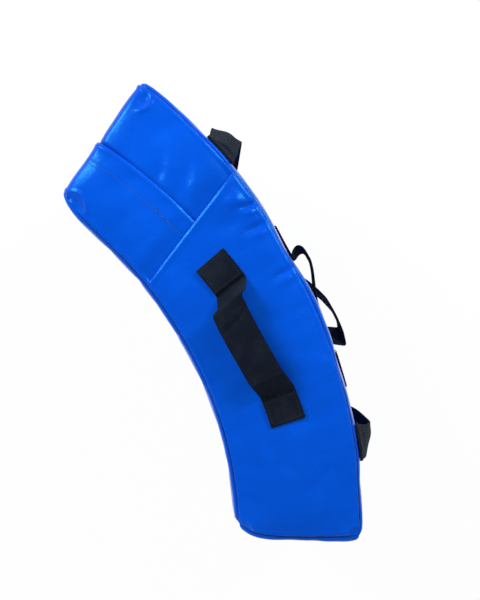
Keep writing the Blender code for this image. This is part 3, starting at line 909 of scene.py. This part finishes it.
def blackWebbing():
    finish = Finish("black_webbing")
    place = finish.place()
    flat, across, along = finish.cloth()
    yarn = across.wave(webbingLook["warp"])
    rib = (along + across * webbingLook["slant"]).wave(webbingLook["rib"])
    raised = (rib * 0.65 + yarn * 0.35).band(-1.0, 1.0)
    # faded patches at random, plus a painted highlight on the raised ribs
    worn = finish.noise(place, 30.0, 3.0, 0.6).band(0.40, 0.75) * 0.4 + raised * 0.5
    fibre = finish.noise(flat, 2600.0, 2.0)
    colour = finish.colours(worn, webbingLook["black"], webbingLook["worn"])
    soft = finish.bumps(finish.noise(place, 90.0, 2.0), 0.0004)
    normal = finish.bumps(raised + fibre * 0.3, 0.0006, soft)
    return finish.surface(
        Base_Color=colour, Roughness=worn * -0.08 + 0.84, Normal=normal, IOR=1.25,
        Specular_Tint=(0.5, 0.7, 1.0, 1), Specular_IOR_Level=0.15, Sheen_Weight=0.05, Sheen_Roughness=0.35,
        Sheen_Tint=(0.55, 0.78, 1.0, 1),
    )


def threadFinish(name, dark, light, roughness):
    finish = Finish(name)
    place = finish.place()
    strands = finish.noise(place, 1400.0, 2.0)
    colour = finish.colours(strands.band(0.3, 0.7), dark, light)
    normal = finish.bumps(strands, 0.0002)
    return finish.surface(Base_Color=colour, Roughness=strands * 0.2 + roughness, Normal=normal)


def foamFinish(name, dark, light):
    finish = Finish(name)
    place = finish.place()
    cells = finish.node("TexVoronoi", {"feature": "F1"}, {"Vector": place, "Scale": 520.0}, "Distance")
    crumbs = finish.node("TexVoronoi", {"feature": "F1"}, {"Vector": place, "Scale": 95.0}, "Color")
    tone = finish.node("SeparateXYZ", {}, {0: crumbs}, "X")
    colour = finish.colours(tone * 0.35 + cells.band(0.0, 0.7) * 0.65, light, dark)
    normal = finish.bumps(cells, 0.0009)
    roughness = cells * 0.1 + 0.88
    return finish.surface(Base_Color=colour, Roughness=roughness, Normal=normal, Specular_IOR_Level=0.2)


def tapeFinish(name, dark, light, roughness):
    finish = Finish(name)
    flat, across, along = finish.cloth()
    ground = across.wave(0.0018) * along.wave(0.0016)
    fuzz = finish.noise(finish.place(), 900.0, 3.0)
    colour = finish.colours(fuzz.band(0.35, 0.7), dark, light)
    normal = finish.bumps(ground * 0.4 + fuzz, 0.0004)
    return finish.surface(Base_Color=colour, Roughness=fuzz * 0.1 + roughness, Normal=normal)


blueFabric = coatedFabric()
webbingFabric = blackWebbing()
blackThread = threadFinish("black_thread", (0.002, 0.003, 0.005), (0.006, 0.008, 0.012), 0.7)
blueThread = threadFinish("blue_thread", (0.006, 0.050, 0.17), (0.030, 0.120, 0.33), 0.6)
greyFoam = foamFinish("grey_foam", (0.22, 0.23, 0.24), (0.50, 0.51, 0.53))
creamFoam = foamFinish("cream_foam", (0.55, 0.48, 0.33), (0.80, 0.74, 0.58))
hookFinish = tapeFinish("black_hooks", (0.007, 0.008, 0.010), (0.020, 0.023, 0.028), 0.45)
loopFinish = tapeFinish("black_loops", (0.010, 0.012, 0.015), (0.032, 0.036, 0.042), 0.85)
for piece in coverPieces.values():
    piece.data.materials.append(blueFabric)
print("finishes ready")


# Stage: a pale floor, soft lights and the camera straight above

stage = {
    "floorSize": 60.0,
    "floorGlow": 0.965,  # how far the floor's own white hides shading from the camera
    "skyLevel": 0.33,
    "camera": (0.003, 0.024, 1.87),
    "turn": -26.9,  # degrees, so that the shield leans as it does in the picture
    "lens": 63.45,
}
lamps = {  # direction from the picture's right, then distance out, height, size and power
    "key": (139, 2.1, 1.85, 0.95, 45.0),
    "side": (46, 1.9, 1.6, 0.80, 29.0),
    "fill": (236, 2.3, 1.0, 1.40, 7.0),
}


def seenDirectly(finish):  # by the camera, or in a glossy or clear surface
    kinds = ("Camera", "Glossy", "Transmission")
    ways = [finish.node("LightPath", {}, {}, f"Is {kind} Ray") for kind in kinds]
    return ways[0].maths("MAXIMUM", ways[0], ways[1].maths("MAXIMUM", *ways[1:]))


def floorFinish():
    finish = Finish("white_floor")
    grain = finish.noise(finish.place(), 3.0)
    white = finish.colours(grain, (0.90, 0.90, 0.90), (0.93, 0.93, 0.93))
    plain = finish.node("BsdfDiffuse", {}, {"Color": white})
    glow = finish.node("Emission", {}, {"Color": (1, 1, 1, 1), "Strength": 1.0})
    mixed = finish.node("MixShader", {}, {0: seenDirectly(finish) * stage["floorGlow"], 1: plain, 2: glow})
    finish.node("OutputMaterial", {}, {"Surface": mixed})
    return finish.owner


def makeStage():
    half = stage["floorSize"] / 2
    mesh = bpy.data.meshes.new("floor")
    corners = [(-half, -half, 0), (half, -half, 0), (half, half, 0), (-half, half, 0)]
    mesh.from_pydata(corners, [], [(0, 1, 2, 3)])
    mesh.materials.append(floorFinish())
    addPiece("floor", mesh)

    world = bpy.data.worlds.new("studio")
    scene.world = world
    sky = Finish(world)
    lit = sky.node("Background", {}, {"Color": (1, 1, 1, 1), "Strength": stage["skyLevel"]})
    white = sky.node("Background", {}, {"Color": (1, 1, 1, 1), "Strength": 1.0})
    mixed = sky.node("MixShader", {}, {0: seenDirectly(sky), 1: lit, 2: white})
    sky.node("OutputWorld", {}, {"Surface": mixed})

    for name, (direction, out, height, size, power) in lamps.items():
        lamp = bpy.data.lights.new(name, "AREA")
        lamp.shape = "DISK"
        lamp.size = size
        lamp.energy = power
        holder = addPiece(name, lamp)
        angle = math.radians(direction + stage["turn"])
        holder.location = (out * math.cos(angle), out * math.sin(angle), height)
        holder.rotation_euler = (-holder.location).to_track_quat("-Z", "Y").to_euler()

    eye = addPiece("camera", bpy.data.cameras.new("camera"))
    eye.location = stage["camera"]
    eye.rotation_euler = (0, 0, math.radians(stage["turn"]))
    eye.data.lens = stage["lens"]
    eye.data.sensor_width = 36
    scene.camera = eye
    scene.view_settings.view_transform = "Standard"


makeStage()
print("stage ready")


# Foam: the three bonded layers, with softly rounded edges

foam = {"voxel": 0.006, "inset": 0.0035, "rounding": 6}


def makeFoam(name, node, finish):
    mesh = bpy.data.objects[node].data.copy()
    piece = addPiece(name, mesh)
    welded = bmesh.new()
    welded.from_mesh(mesh)
    bmesh.ops.remove_doubles(welded, verts=welded.verts, dist=0.00001)
    welded.to_mesh(mesh)
    welded.free()
    cells = piece.modifiers.new("Cells", "REMESH")
    cells.mode = "VOXEL"
    cells.voxel_size = foam["voxel"]
    soft = piece.modifiers.new("Soft", "SMOOTH")
    soft.iterations = foam["rounding"]
    inset = piece.modifiers.new("Inset", "DISPLACE")
    inset.mid_level = 0
    inset.strength = -foam["inset"]
    made = applyModifiers(piece)
    made.shade_smooth()
    made.materials.clear()
    made.materials.append(finish)
    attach(piece, "root")
    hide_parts(node)


makeFoam("foam_block_strike", "foam_strike_layer", creamFoam)
makeFoam("foam_block_core", "foam_core", greyFoam)
makeFoam("foam_block_back", "foam_back_layer", greyFoam)
print("foam made")


# Webbing: each handle is one length, from a cut edge, folded under itself at both ends

webbing = {
    "width": 0.050,
    "thickness": 0.0018,
    "layerGap": 0.0006,
    "cutBack": 0.003,
    "onCover": 0.0014,  # from the cover to the middle of webbing that lies on it
    "step": 0.0026,
    "columns": 16,
    "stitchInset": 0.0045,
    "creaseEnds": 0.006,  # how soon a crease fades at its ends
    "creasedStep": 0.7,  # share of the step, where the route has creases
    "trim": 0.0004,  # taken off the width, for the wall's round edge
}
webbingLayer = webbing["thickness"] + webbing["layerGap"]


def creasedRoute(points, step, passes):  # straight runs between the points, their corners softened a little
    points = np.array(points, float)
    at = np.concatenate([[0], np.cumsum(np.linalg.norm(np.diff(points[:, :3], axis=0), axis=1))])
    steps = np.linspace(0, at[-1], round(at[-1] / step) + 1)
    route = np.stack([np.interp(steps, at, column) for column in points.T], 1)
    for _ in range(passes):
        route[1:-1] = (route[:-2] + 2 * route[1:-1] + route[2:]) / 4
    return list(route)


def smoothRoute(points, step):  # run, side, height, tilt and skew, on a smooth line through the points
    points = [np.array(p, float) for p in points]
    ends = [2 * points[0] - points[1], *points, 2 * points[-1] - points[-2]]
    route = []
    for a, b, c, d in zip(ends, ends[1:], ends[2:], ends[3:]):
        steps = max(2, round(np.linalg.norm((c - b)[:3]) / step))
        curve = (b, (c - a) / 2, a - 2.5 * b + 2 * c - d / 2, (3 * b - a - 3 * c + d) / 2)
        for x in np.arange(steps) / steps:
            route.append(sum(part * x**power for power, part in enumerate(curve)))
    return [*route, points[-1]]


def sewnEnd(root, outer, side, turn):  # from the cut edge on top to the root underneath
    way = 1 if outer > root else -1
    high = webbing["onCover"] + webbingLayer
    bend = webbingLayer / 2
    fold = outer - way * (bend + webbing["thickness"] / 2)
    count = max(3, round(abs(fold - root) / webbing["step"]))
    runsOut = np.linspace(root + way * webbing["cutBack"], fold, count)
    points = [(run, high) for run in runsOut[:-1]]
    points += [
        (fold + way * bend * math.cos(a), webbing["onCover"] + bend + bend * math.sin(a))
        for a in np.linspace(math.pi / 2, -math.pi / 2, 9)
    ]
    points += [(run, webbing["onCover"]) for run in np.linspace(fold, root, count)[1:-1]]
    lean = math.tan(turn)
    return [np.array((run, side + (run - root) * lean, height, 0.0, -lean)) for run, height in points]


def handleRoute(spec):
    upper, lower = spec["roots"]
    shape = [
        (mix(upper, lower, share), side, spec["rise"] * up, tilt, skew)
        for share, side, up, tilt, skew in spec["shape"]
    ]
    turns = [math.radians(turn) for turn in spec.get("turns", (0, 0))]
    shifts = spec.get("shifts", (0, 0))
    first = (upper, shifts[0], webbing["onCover"], 0, -math.tan(turns[0]))
    last = (lower, shifts[1], webbing["onCover"], 0, -math.tan(turns[1]))
    upperEnd = sewnEnd(upper, upper + spec["sewn"][0], shifts[0], turns[0])
    lowerEnd = sewnEnd(lower, lower - spec["sewn"][1], shifts[1], turns[1])
    points = [first, *shape, last]
    if "creased" in spec:
        middle = creasedRoute(points, webbing["step"] * webbing["creasedStep"], spec["creased"])
    else:
        middle = smoothRoute(points, webbing["step"])
    return np.array(upperEnd + middle + lowerEnd[::-1])


def ribbonGrid(route, place, across, creases=()):  # points across the webbing at each step of its route
    run, side, height, tilt, skew = [route[:, k : k + 1] for k in range(5)]
    u = across[None, :]
    at = np.stack(np.broadcast_arrays(u, run), -1)  # creases are given as (across, run) in millimetres
    creased = sum(ridge(at, line, high, reach, webbing["creaseEnds"]) for line, high, reach in creases)
    return place(run + u * skew, side + u * np.cos(tilt), height + u * np.sin(tilt) + creased)


def onNearSide(run, side, height):
    return toWorld(run, side, seamHigh + sideRise(run, side) + height)


def onBack(s, z, height):
    return toWorld(s, seamOut(s, 1) + faceRise(s, z, 1) + height, z)


def onBackAlong(middle):
    return lambda run, side, height: onBack(run, middle + side, height)


def onBackAcross(middle):
    outThere = curveRadius / (curveRadius + seamOut(middle, 1))  # s is shorter than the way along the back
    return lambda run, side, height: onBack(middle - side * outThere, width / 2 + run, height)


# The same to both sides of its middle. Points: share of the way, of the rise and of the lean
def arch(tilt, shift, points):
    half = [(share, lean * shift, up, lean * tilt, 0) for share, up, lean in points]
    return half + [(1 - share, side, up, lean, skew) for share, side, up, lean, skew in half[-2::-1]]


upperArmAt = float(hemAt(0.103)) + 0.032
lowerArmAt = 0.112 - halfLength
# Shapes: share of the way, side, share of the rise, tilt and skew. Creases: route, height and reach
handles = {
    "side_handle": {
        "roots": (0.0467, -0.117), "sewn": (0.047, 0.042), "rise": 0.033, "place": onNearSide,
        "shifts": (0.0020, 0.0008), "turns": (-6.5, -3.7), "creased": 2,
        "shape": [
            (0.025, 0.0010, 0.10, 0.08, 0.11),
            (0.070, -0.0035, 0.50, 0.30, 0.12),
            (0.104, -0.0068, 0.86, 0.42, 0.14),
            (0.114, -0.0120, 0.97, 0.22, 0.16),
            (0.136, -0.0160, 1.03, 0.08, 0.16),
            (0.200, -0.0165, 1.00, 0.04, 0.12),
            (0.285, -0.0170, 0.96, 0.00, 0.06),
            (0.420, -0.0162, 1.00, 0.00, 0.02),
            (0.563, -0.0141, 1.00, 0.00, 0.00),
            (0.700, -0.0112, 0.97, 0.00, 0.02),
            (0.814, -0.0084, 0.91, -0.02, 0.05),
            (0.846, -0.0065, 0.90, -0.03, 0.05),
            (0.885, -0.0045, 0.66, -0.03, 0.05),
            (0.935, -0.0015, 0.32, -0.02, 0.05),
            (0.980, 0.0004, 0.08, 0.00, 0.06),
        ],
        "creases": [
            ([(-24, -6), (-6, -3), (10, 3), (25, 10)], -1.6, 3.0), ([(-24, 4), (0, 6), (20, 14)], 0.9, 3.5),
            ([(-8, -20), (-4, -34), (2, -52)], -1.1, 5.0), ([(-19, -24), (-15, -50)], 0.7, 5.0),
            ([(-24, -92), (0, -91), (24, -90)], 1.0, 2.6), ([(4, 32), (-10, 27), (-22, 26)], 0.9, 1.8),
            ([(12, 41), (2, 34)], -0.9, 1.6),
        ],
    },
    "near_back_handle": {
        "roots": (0.037, -0.093), "sewn": (0.049, 0.048), "rise": 0.025, "place": onBackAlong(0.300),
        "creased": 4,
        "shape": [
            (-0.020, 0, 0.24, 0, 0.22), (-0.055, 0, 0.62, 0, 0.22), (-0.050, 0, 0.86, 0, 0.20),
            (-0.015, 0, 0.99, 0, 0.12), (0.100, 0, 0.97, 0, 0.04), (0.192, 0, 0.78, 0, 0.02),
            (0.285, 0, 0.54, 0, 0), (0.377, 0, 0.33, 0, 0), (0.469, 0, 0.17, 0, 0), (0.562, 0, 0.09, 0, 0),
            (0.750, 0, 0.065, 0, 0), (0.900, 0, 0.058, 0, 0),
        ],
    },
    "far_back_handle": {
        "roots": (0.031, -0.090), "sewn": (0.049, 0.048), "rise": 0.037, "place": onBackAlong(0.110),
        "creased": 4,
        "shape": [
            (0.090, 0, 0.12, 0, 0), (0.250, 0, 0.40, 0.08, 0.05), (0.400, 0, 0.61, 0.13, 0.03),
            (0.520, 0, 0.80, 0.10, 0.02), (0.720, 0, 0.98, 0, -0.10), (0.880, 0, 1.03, 0, -0.28),
            (1.005, 0, 0.97, 0, -0.50), (0.945, 0, 0.50, 0, -0.50), (0.910, 0, 0.16, 0, -0.38),
        ],
    },
    "upper_arm_strap": {
        "roots": (0.150, -0.150), "sewn": (0.038, 0.038), "rise": 0.0381, "place": onBackAcross(upperArmAt),
        "shape": arch(
            0.373, -0.0287,
            [(0.05, 0.08, 0.1), (0.167, 0.33, 0.33), (0.333, 0.71, 0.72), (0.44, 0.94, 0.94), (0.5, 1, 1)],
        ),
        "creases": [([(3, 105), (0, 60), (-1, 0), (0, -60), (3, -105)], 4.5, 13.0)],
        "body": "inner_mouth",
    },
    "lower_arm_strap": {
        "roots": (0.150, -0.150), "sewn": (0.038, 0.038), "rise": 0.0325, "place": onBackAcross(lowerArmAt),
        "shape": [
            (0.060, 0.004, 0.12, -0.02, 0), (0.167, 0.011, 0.36, -0.08, 0), (0.300, 0.018, 0.66, -0.15, 0),
            (0.440, 0.0212, 0.95, -0.2, 0), (0.500, 0.0214, 1, -0.21, 0), (0.560, 0.019, 0.96, -0.2, 0),
            (0.700, 0.007, 0.68, -0.12, 0), (0.833, 0.001, 0.36, -0.05, 0), (0.940, 0, 0.12, 0, 0),
        ],
        "creases": [([(-6, 90), (-7, 0), (-6, -90)], 2.2, 11.0)],
    },
}


def makeHandle(name, spec):
    route = handleRoute(spec)
    across = np.linspace(-0.5, 0.5, webbing["columns"] + 1) * (webbing["width"] - webbing["trim"])
    points = ribbonGrid(route, spec["place"], across, spec.get("creases", ()))
    flat = weaveAt(points)
    piece = gridMesh(name, points, flat)
    normals = normalsOf(points, spec["out"])
    faceOutward(piece, normals)
    piece.data.materials.append(webbingFabric)
    addWall(piece, webbing["thickness"], 0)
    return piece, float(flat[-1, 0, 1])


joints = {joint["name"]: joint for joint in frame["joints"]}
swing = {"start": 0.007, "end": 0.024}  # two heights over each handle's pivot, straight out of the cover; the points they give are not used


def outFrom(spec, pivot):  # straight out of the cover at a handle
    if spec["place"] is onNearSide:
        return np.array((0.0, 0.0, 1.0))
    out = np.array((pivot[0] + curveRadius, pivot[1], 0.0))
    return out / np.linalg.norm(out)


for name, spec in handles.items():
    pivot = np.array(joints[name + "_swing"]["pos_m"], float)
    spec["out"] = outFrom(spec, pivot)
    piece, length = makeHandle(name, spec)
    ends = [tuple(float(x) for x in pivot + spec["out"] * swing[end]) for end in ("start", "end")]
    spec.get("body", "root")
    name + "_loop"
    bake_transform(piece)
    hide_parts(*[name + part for part in ("_upper_end", "_grip", "_lower_end")])
    print(name, "webbing length", round(length, 3), "m")


# Stitches and loose threads, laid on the finished cloth

def closeTo(piece):  # finds the piece's nearest surface, and a place a little over it
    corners = [vertex.co for vertex in piece.data.vertices]
    tree = BVHTree.FromPolygons(corners, [polygon.vertices for polygon in piece.data.polygons])

    def find(point, lift):
        at, normal, _, _ = tree.find_nearest(Vector(point))
        return at + normal * lift

    return find


def strayTurn(sheet, given, turned, most):  # turns each stitch or bristle a little off its line
    limits = {0: tuple(-x for x in most), 1: most, "Seed": given["Seed"]}
    stray = sheet.node("FunctionNodeRandomValue", {"data_type": "FLOAT_VECTOR"}, limits)
    stray = sheet.node("ShaderNodeVectorMath", {"operation": "SCALE"}, {0: stray, "Scale": given["Wander"]})
    return sheet.node("FunctionNodeRotateRotation", {"rotation_space": "LOCAL"}, {0: turned, 1: stray})


def direction(sheet, name):  # a direction stored on each point
    return sheet.node("InputNamedAttribute", {"data_type": "FLOAT_VECTOR"}, {"Name": name})


def endTree(sheet, made, finish):
    done = sheet.node("SetMaterial", {}, {0: made, "Material": finish})
    sheet.node("NodeGroupOutput", {}, {0: done})
    return sheet.tree


def stitchRows():
    sheet = NodeSheet(bpy.data.node_groups.new("stitch_rows", "GeometryNodeTree"))
    given = sheet.entry({
        "Pitch": ("Float", 0.0045), "Stitch": ("Vector", (0.0034, 0.0008, 0.0007)),
        "Wander": ("Float", 0.12), "Seed": ("Int", 1), "Thread": ("Material", None),
    })
    line = sheet.node("MeshToCurve", {}, {"Mesh": given["Geometry"]})
    line = sheet.node("ResampleCurve", {"mode": "LENGTH"}, {"Curve": line, "Length": given["Pitch"]})
    bead = sheet.node("MeshUVSphere", {}, {"Segments": 6, "Rings": 4, "Radius": 0.5})
    bead = sheet.node("Transform", {}, {"Geometry": bead, "Scale": given["Stitch"]})
    axes = {"Primary Axis": sheet.node("InputTangent", {}, {}), "Secondary Axis": direction(sheet, "facing")}
    turned = sheet.node("FunctionNodeAxesToRotation", {"primary_axis": "X", "secondary_axis": "Z"}, axes)
    turned = strayTurn(sheet, given, turned, (0.5, 0.5, 0.5))
    placed = {"Points": line, "Instance": bead, "Rotation": turned}
    real = sheet.node("RealizeInstances", {}, {0: sheet.node("InstanceOnPoints", {}, placed)})
    return endTree(sheet, sheet.node("SetShadeSmooth", {}, {0: real}), given["Thread"])


def strands():  # thin threads along lines
    sheet = NodeSheet(bpy.data.node_groups.new("strands", "GeometryNodeTree"))
    given = sheet.entry({"Radius": ("Float", 0.00014), "Thread": ("Material", None)})
    line = sheet.node("MeshToCurve", {}, {"Mesh": given["Geometry"]})
    sizes = {"Resolution": 4, "Radius": given["Radius"]}
    ring = sheet.node("CurvePrimitiveCircle", {"mode": "RADIUS"}, sizes)
    tube = sheet.node("CurveToMesh", {}, {"Curve": line, "Profile Curve": ring, "Fill Caps": True})
    return endTree(sheet, sheet.node("RealizeInstances", {}, {0: tube}), given["Thread"])


def pileRows():  # one small hook or loop on each of the mesh's points
    sheet = NodeSheet(bpy.data.node_groups.new("pile_rows", "GeometryNodeTree"))
    given = sheet.entry({
        "Height": ("Float", 0.0009), "Width": ("Float", 0.0012), "Thread Radius": ("Float", 0.00016),
        "Wander": ("Float", 0.3), "Turn": ("Float", math.pi), "Seed": ("Int", 3),
        "Finish": ("Material", None),
    })
    sizes = {"Resolution": 6, "Radius": 0.5, "Sweep Angle": given["Turn"]}
    arc = sheet.node("CurveArc", {"mode": "RADIUS"}, sizes)
    size = sheet.node("ShaderNodeCombineXYZ", {}, {0: given["Width"], 1: given["Height"] * 2.0, 2: 1.0})
    arc = sheet.node("Transform", {}, {"Geometry": arc, "Scale": size, "Rotation": (math.pi / 2, 0, 0)})
    sizes = {"Resolution": 3, "Radius": given["Thread Radius"]}
    ring = sheet.node("CurvePrimitiveCircle", {"mode": "RADIUS"}, sizes)
    bristle = sheet.node("CurveToMesh", {}, {"Curve": arc, "Profile Curve": ring})
    axes = {"Primary Axis": direction(sheet, "facing"), "Secondary Axis": direction(sheet, "along")}
    turned = sheet.node("FunctionNodeAxesToRotation", {"primary_axis": "Z", "secondary_axis": "X"}, axes)
    turned = strayTurn(sheet, given, turned, (1, 1, 3))
    placed = {"Points": given["Geometry"], "Instance": bristle, "Rotation": turned}
    real = sheet.node("RealizeInstances", {}, {0: sheet.node("InstanceOnPoints", {}, placed)})
    return endTree(sheet, real, given["Finish"])


trees = {"stitches": stitchRows(), "strands": strands(), "pile": pileRows()}


def grow(name, tree, lines, settings, body):  # lines: each a list of points, with what each point faces
    points, edges, facing, along = [], [], [], []
    for line, faces, ways in lines:
        first = len(points)
        points += [tuple(p) for p in line]
        facing += [tuple(f) for f in faces]
        along += [tuple(w) for w in ways]
        edges += [(k, k + 1) for k in range(first, len(points) - 1)] if tree != "pile" else []
    mesh = bpy.data.meshes.new(name)
    mesh.from_pydata(points, edges, [])
    for label, values in (("facing", facing), ("along", along)):
        layer = mesh.attributes.new(label, "FLOAT_VECTOR", "POINT")
        layer.data.foreach_set("vector", np.array(values, np.float32).ravel())
    piece = addPiece(name, mesh)
    modifier = piece.modifiers.new("Grow", "NODES")
    modifier.node_group = trees[tree]
    for item in trees[tree].interface.items_tree:
        if item.in_out == "INPUT" and item.name in settings:
            modifier[item.identifier] = settings[item.name]
    applyModifiers(piece)
    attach(piece, body)
    return piece


stitching = {
    "black": {"Pitch": 0.0046, "Stitch": (0.0033, 0.0009, 0.0007), "Wander": 0.16, "Thread": blackThread},
    "blue": {"Pitch": 0.0042, "Stitch": (0.0031, 0.0010, 0.0007), "Wander": 0.14, "Thread": blueThread},
    "lift": 0.0001,  # over the webbing
    "flapLift": 0.0002,  # over the cloth
    "overFloor": 0.0012,
    "untidy": 0.0006,  # how far the flap's row strays at its ends
    "hemGap": 0.004,  # from the hem to the flap's row, as a share of the flap's length
    "firstInset": 0.8,  # share of the inset that the row beside the cut edge has
    "sideSteps": 14,
    "flapSteps": 160,
}
fraying = {
    "threads": 11,
    "radius": 0.00016,
    "length": (0.0015, 0.0055),
    "bend": 0.003,
    "curl": 0.0016,
    "hidden": 0.001,  # how far a thread starts inside the cut edge
    "below": 0.0004,  # and under the webbing's top
}


def sewnBox(root, outer, shift, turn):  # the rectangle of stitches in a sewn end: run and side
    way = 1 if outer > root else -1
    inset, half = webbing["stitchInset"], webbing["width"] / 2 - webbing["stitchInset"]
    low, high = root + way * (webbing["cutBack"] + inset * stitching["firstInset"]), outer - way * inset
    corners = [(low, -half), (low, half), (high, half), (high, -half), (low, -half)]
    line = []
    for (r0, a0), (r1, a1) in zip(corners, corners[1:]):
        for x in np.linspace(0, 1, stitching["sideSteps"])[:-1]:
            run, across = mix(r0, r1, x), mix(a0, a1, x)
            line.append((run - across * math.tan(turn), shift + across + (run - root) * math.tan(turn)))
    return [*line, line[0]]


boxes = {"root": [], "inner_mouth": []}
frays = {"root": [], "inner_mouth": []}
random = np.random.default_rng(17)
topLayer = webbing["onCover"] + webbingLayer + webbing["thickness"] / 2
for name, spec in handles.items():
    body = spec.get("body", "root")
    for end in (0, 1):
        root = spec["roots"][end]
        way = (1, -1)[end]
        outer = root + way * spec["sewn"][end]
        shift = spec.get("shifts", (0, 0))[end]
        turn = math.radians(spec.get("turns", (0, 0))[end])
        stitched = sewnBox(root, outer, shift, turn)
        line = [spec["place"](run, side, topLayer + stitching["lift"]) for run, side in stitched]
        line = np.array(line).reshape(-1, 3)
        faces = np.repeat(spec["out"][None], len(line), 0)
        boxes[body].append((line, faces, np.gradient(line, axis=0)))
        for _ in range(fraying["threads"]):
            across = random.uniform(-0.5, 0.5) * webbing["width"]
            run = root + way * webbing["cutBack"]
            reach = random.uniform(*fraying["length"])
            bend = random.uniform(-fraying["bend"], fraying["bend"])
            curl = []
            for x in np.linspace(0, 1, 5):
                height = topLayer - fraying["below"] + fraying["curl"] * x * (1 - x)
                at = run + way * (fraying["hidden"] - x * reach)
                curl.append(spec["place"](at, shift + across + bend * x * x, height))
            curl = np.array(curl).reshape(-1, 3)
            frays[body].append((curl, np.repeat(spec["out"][None], 5, 0), np.gradient(curl, axis=0)))
for body, label in (("root", "handle"), ("inner_mouth", "upper_strap")):
    piece = grow(label + "_stitches", "stitches", boxes[body], stitching["black"], body)
    threads = {"Radius": fraying["radius"], "Thread": blackThread}
    piece = grow(label + "_frays", "strands", frays[body], threads, body)
print("stitches made")


# The outer flap's row of stitches, and the tapes between the flaps

def flapLine(outer, fromEdge, lift, rows, low, high):  # points on a flap at a distance from its free edge
    v = np.linspace(low, high, rows)[:, None]
    place = flapPlace(outer)
    wide = np.linalg.norm(place(np.zeros_like(v), v)[0] - place(np.ones_like(v), v)[0], axis=-1)
    share = fromEdge / wide
    u = 1 - share if outer else share
    points = place(u, v)[0]
    beside = place(u + (-0.02 if outer else 0.02), v)[0]
    ahead = place(u, np.minimum(v + 0.002, 1.0))[0] - place(u, v - 0.002)[0]
    normal = np.cross(ahead, beside - points)
    normal /= np.linalg.norm(normal, axis=-1, keepdims=True)
    normal *= np.sign((normal * outwardOf(panels["outer_flap"], points)).sum(-1, keepdims=True))
    return (points + normal * lift)[:, 0], normal[:, 0], ahead[:, 0]


hemShare = shield["tuck"] / flapRun
find = closeTo(coverPieces["outer_flap"])
first, last = hemShare + stitching["hemGap"], 1 - hemShare - stitching["hemGap"]
targets, normals, ways = flapLine(True, closure["stitchRow"], 0.0, stitching["flapSteps"], first, last)
rowPoints = np.array([find(p, stitching["flapLift"]) for p in targets])
rowPoints[:, 2] = np.maximum(rowPoints[:, 2], stitching["overFloor"])
lines = [(rowPoints, normals, ways)]
for start in (3, 5, len(rowPoints) - 12):  # the ends are sewn over more than once
    again = rowPoints[start : start + 8] + random.normal(0, stitching["untidy"], (8, 3))
    lines.append((again, normals[start : start + 8], ways[start : start + 8]))
piece = grow("outer_flap_stitches", "stitches", lines, stitching["blue"], "outer_mouth")

tape = {
    "width": 0.025,
    "setBack": 0.003,  # from the outer flap's free edge
    "hookAt": -0.0031,  # from the outer flap's outer side to where its turned-under cloth is looked for
    "loopAt": 0.0001,
    "gap": 0.0001,  # from the cloth to the tape
    "thickness": 0.0005,
    "pitch": 0.0026,
    "short": 0.006,  # how far each end stays from the hem, as a share of the flap's length
    "pileShort": 0.002,  # how much further the pile stays
    "bare": 0.001,  # beside the tape's far edge
    "rows": 130,
    "columns": 7,
}


def makeTape(name, outer, fromEdge, back, ground, pileSettings):
    flap, body, side = ("outer_flap", "outer_mouth", -1) if outer else ("inner_flap", "inner_mouth", 1)
    edge = hemShare + tape["short"]
    find = closeTo(coverPieces[flap])
    grid, facing = [], []
    for x in np.linspace(0, 1, tape["columns"]):
        points, normal, _ = flapLine(outer, fromEdge + x * tape["width"], back, tape["rows"], edge, 1 - edge)
        grid.append(np.array([find(p, tape["gap"]) for p in points]))
        facing.append(normal)
    grid, facing = np.stack(grid, 1), np.stack(facing, 1)
    strip = gridMesh(name, grid, weaveAt(grid))
    faceOutward(strip, facing * side)
    addWall(strip, tape["thickness"], 1)
    strip.data.materials.append(ground)
    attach(strip, body)
    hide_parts("closure_" + name)
    length = float(runs(grid, 0)[-1, 0])

    pile = []
    count = round(length / tape["pitch"])
    first, last = edge + tape["pileShort"], 1 - edge - tape["pileShort"]
    for x in np.arange(tape["pitch"], tape["width"] - tape["bare"], tape["pitch"]):
        points, normal, ways = flapLine(outer, fromEdge + x, back, count, first, last)
        points = np.array([find(p, tape["gap"] + tape["thickness"]) for p in points])
        pile.append((points, normal * side, ways))
    grow(name + "_pile", "pile", pile, pileSettings, body)


hooks = {"Height": 0.0009, "Width": 0.0011, "Wander": 0.08, "Turn": math.pi * 0.82, "Finish": hookFinish}
loops = {"Height": 0.0009, "Width": 0.0016, "Wander": 0.5, "Turn": math.pi, "Finish": loopFinish}
overlapLoops = closure["overlap"] - tape["setBack"] - tape["width"]
makeTape("hook_tape", True, tape["setBack"], tape["hookAt"], hookFinish, hooks)
makeTape("loop_tape", False, overlapLoops, tape["loopAt"], loopFinish, loops)
print("closure made")


# Each panel rides on its body, except the mouth's two lips, which stay unattached where they are; the CAD
# panels they replace are hidden

hinges = {  # the mouth's two lips, with the joint at each hem and its side
    "strike_cover": (joints["outer_mouth_open"]["pos_m"], -1),
    "back_cover": (joints["inner_mouth_open"]["pos_m"], 1),
}
bendReach = 0.012  # to both sides of the hem line
for name, panel in panels.items():
    piece = coverPieces[name]
    if name in hinges:
        pivot, side = hinges[name]
        at = np.array(pivot, float)
        angle = math.atan2(at[1], at[0] + curveRadius)
        along = np.array((-math.sin(angle), math.cos(angle), 0.0)) * bendReach
        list(panel["body"])
        tuple(at - along)
        tuple(at + along)
        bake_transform(piece)
    else:
        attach(piece, panel["body"])
    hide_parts(*panel["replaces"])
    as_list(panel["rests"])
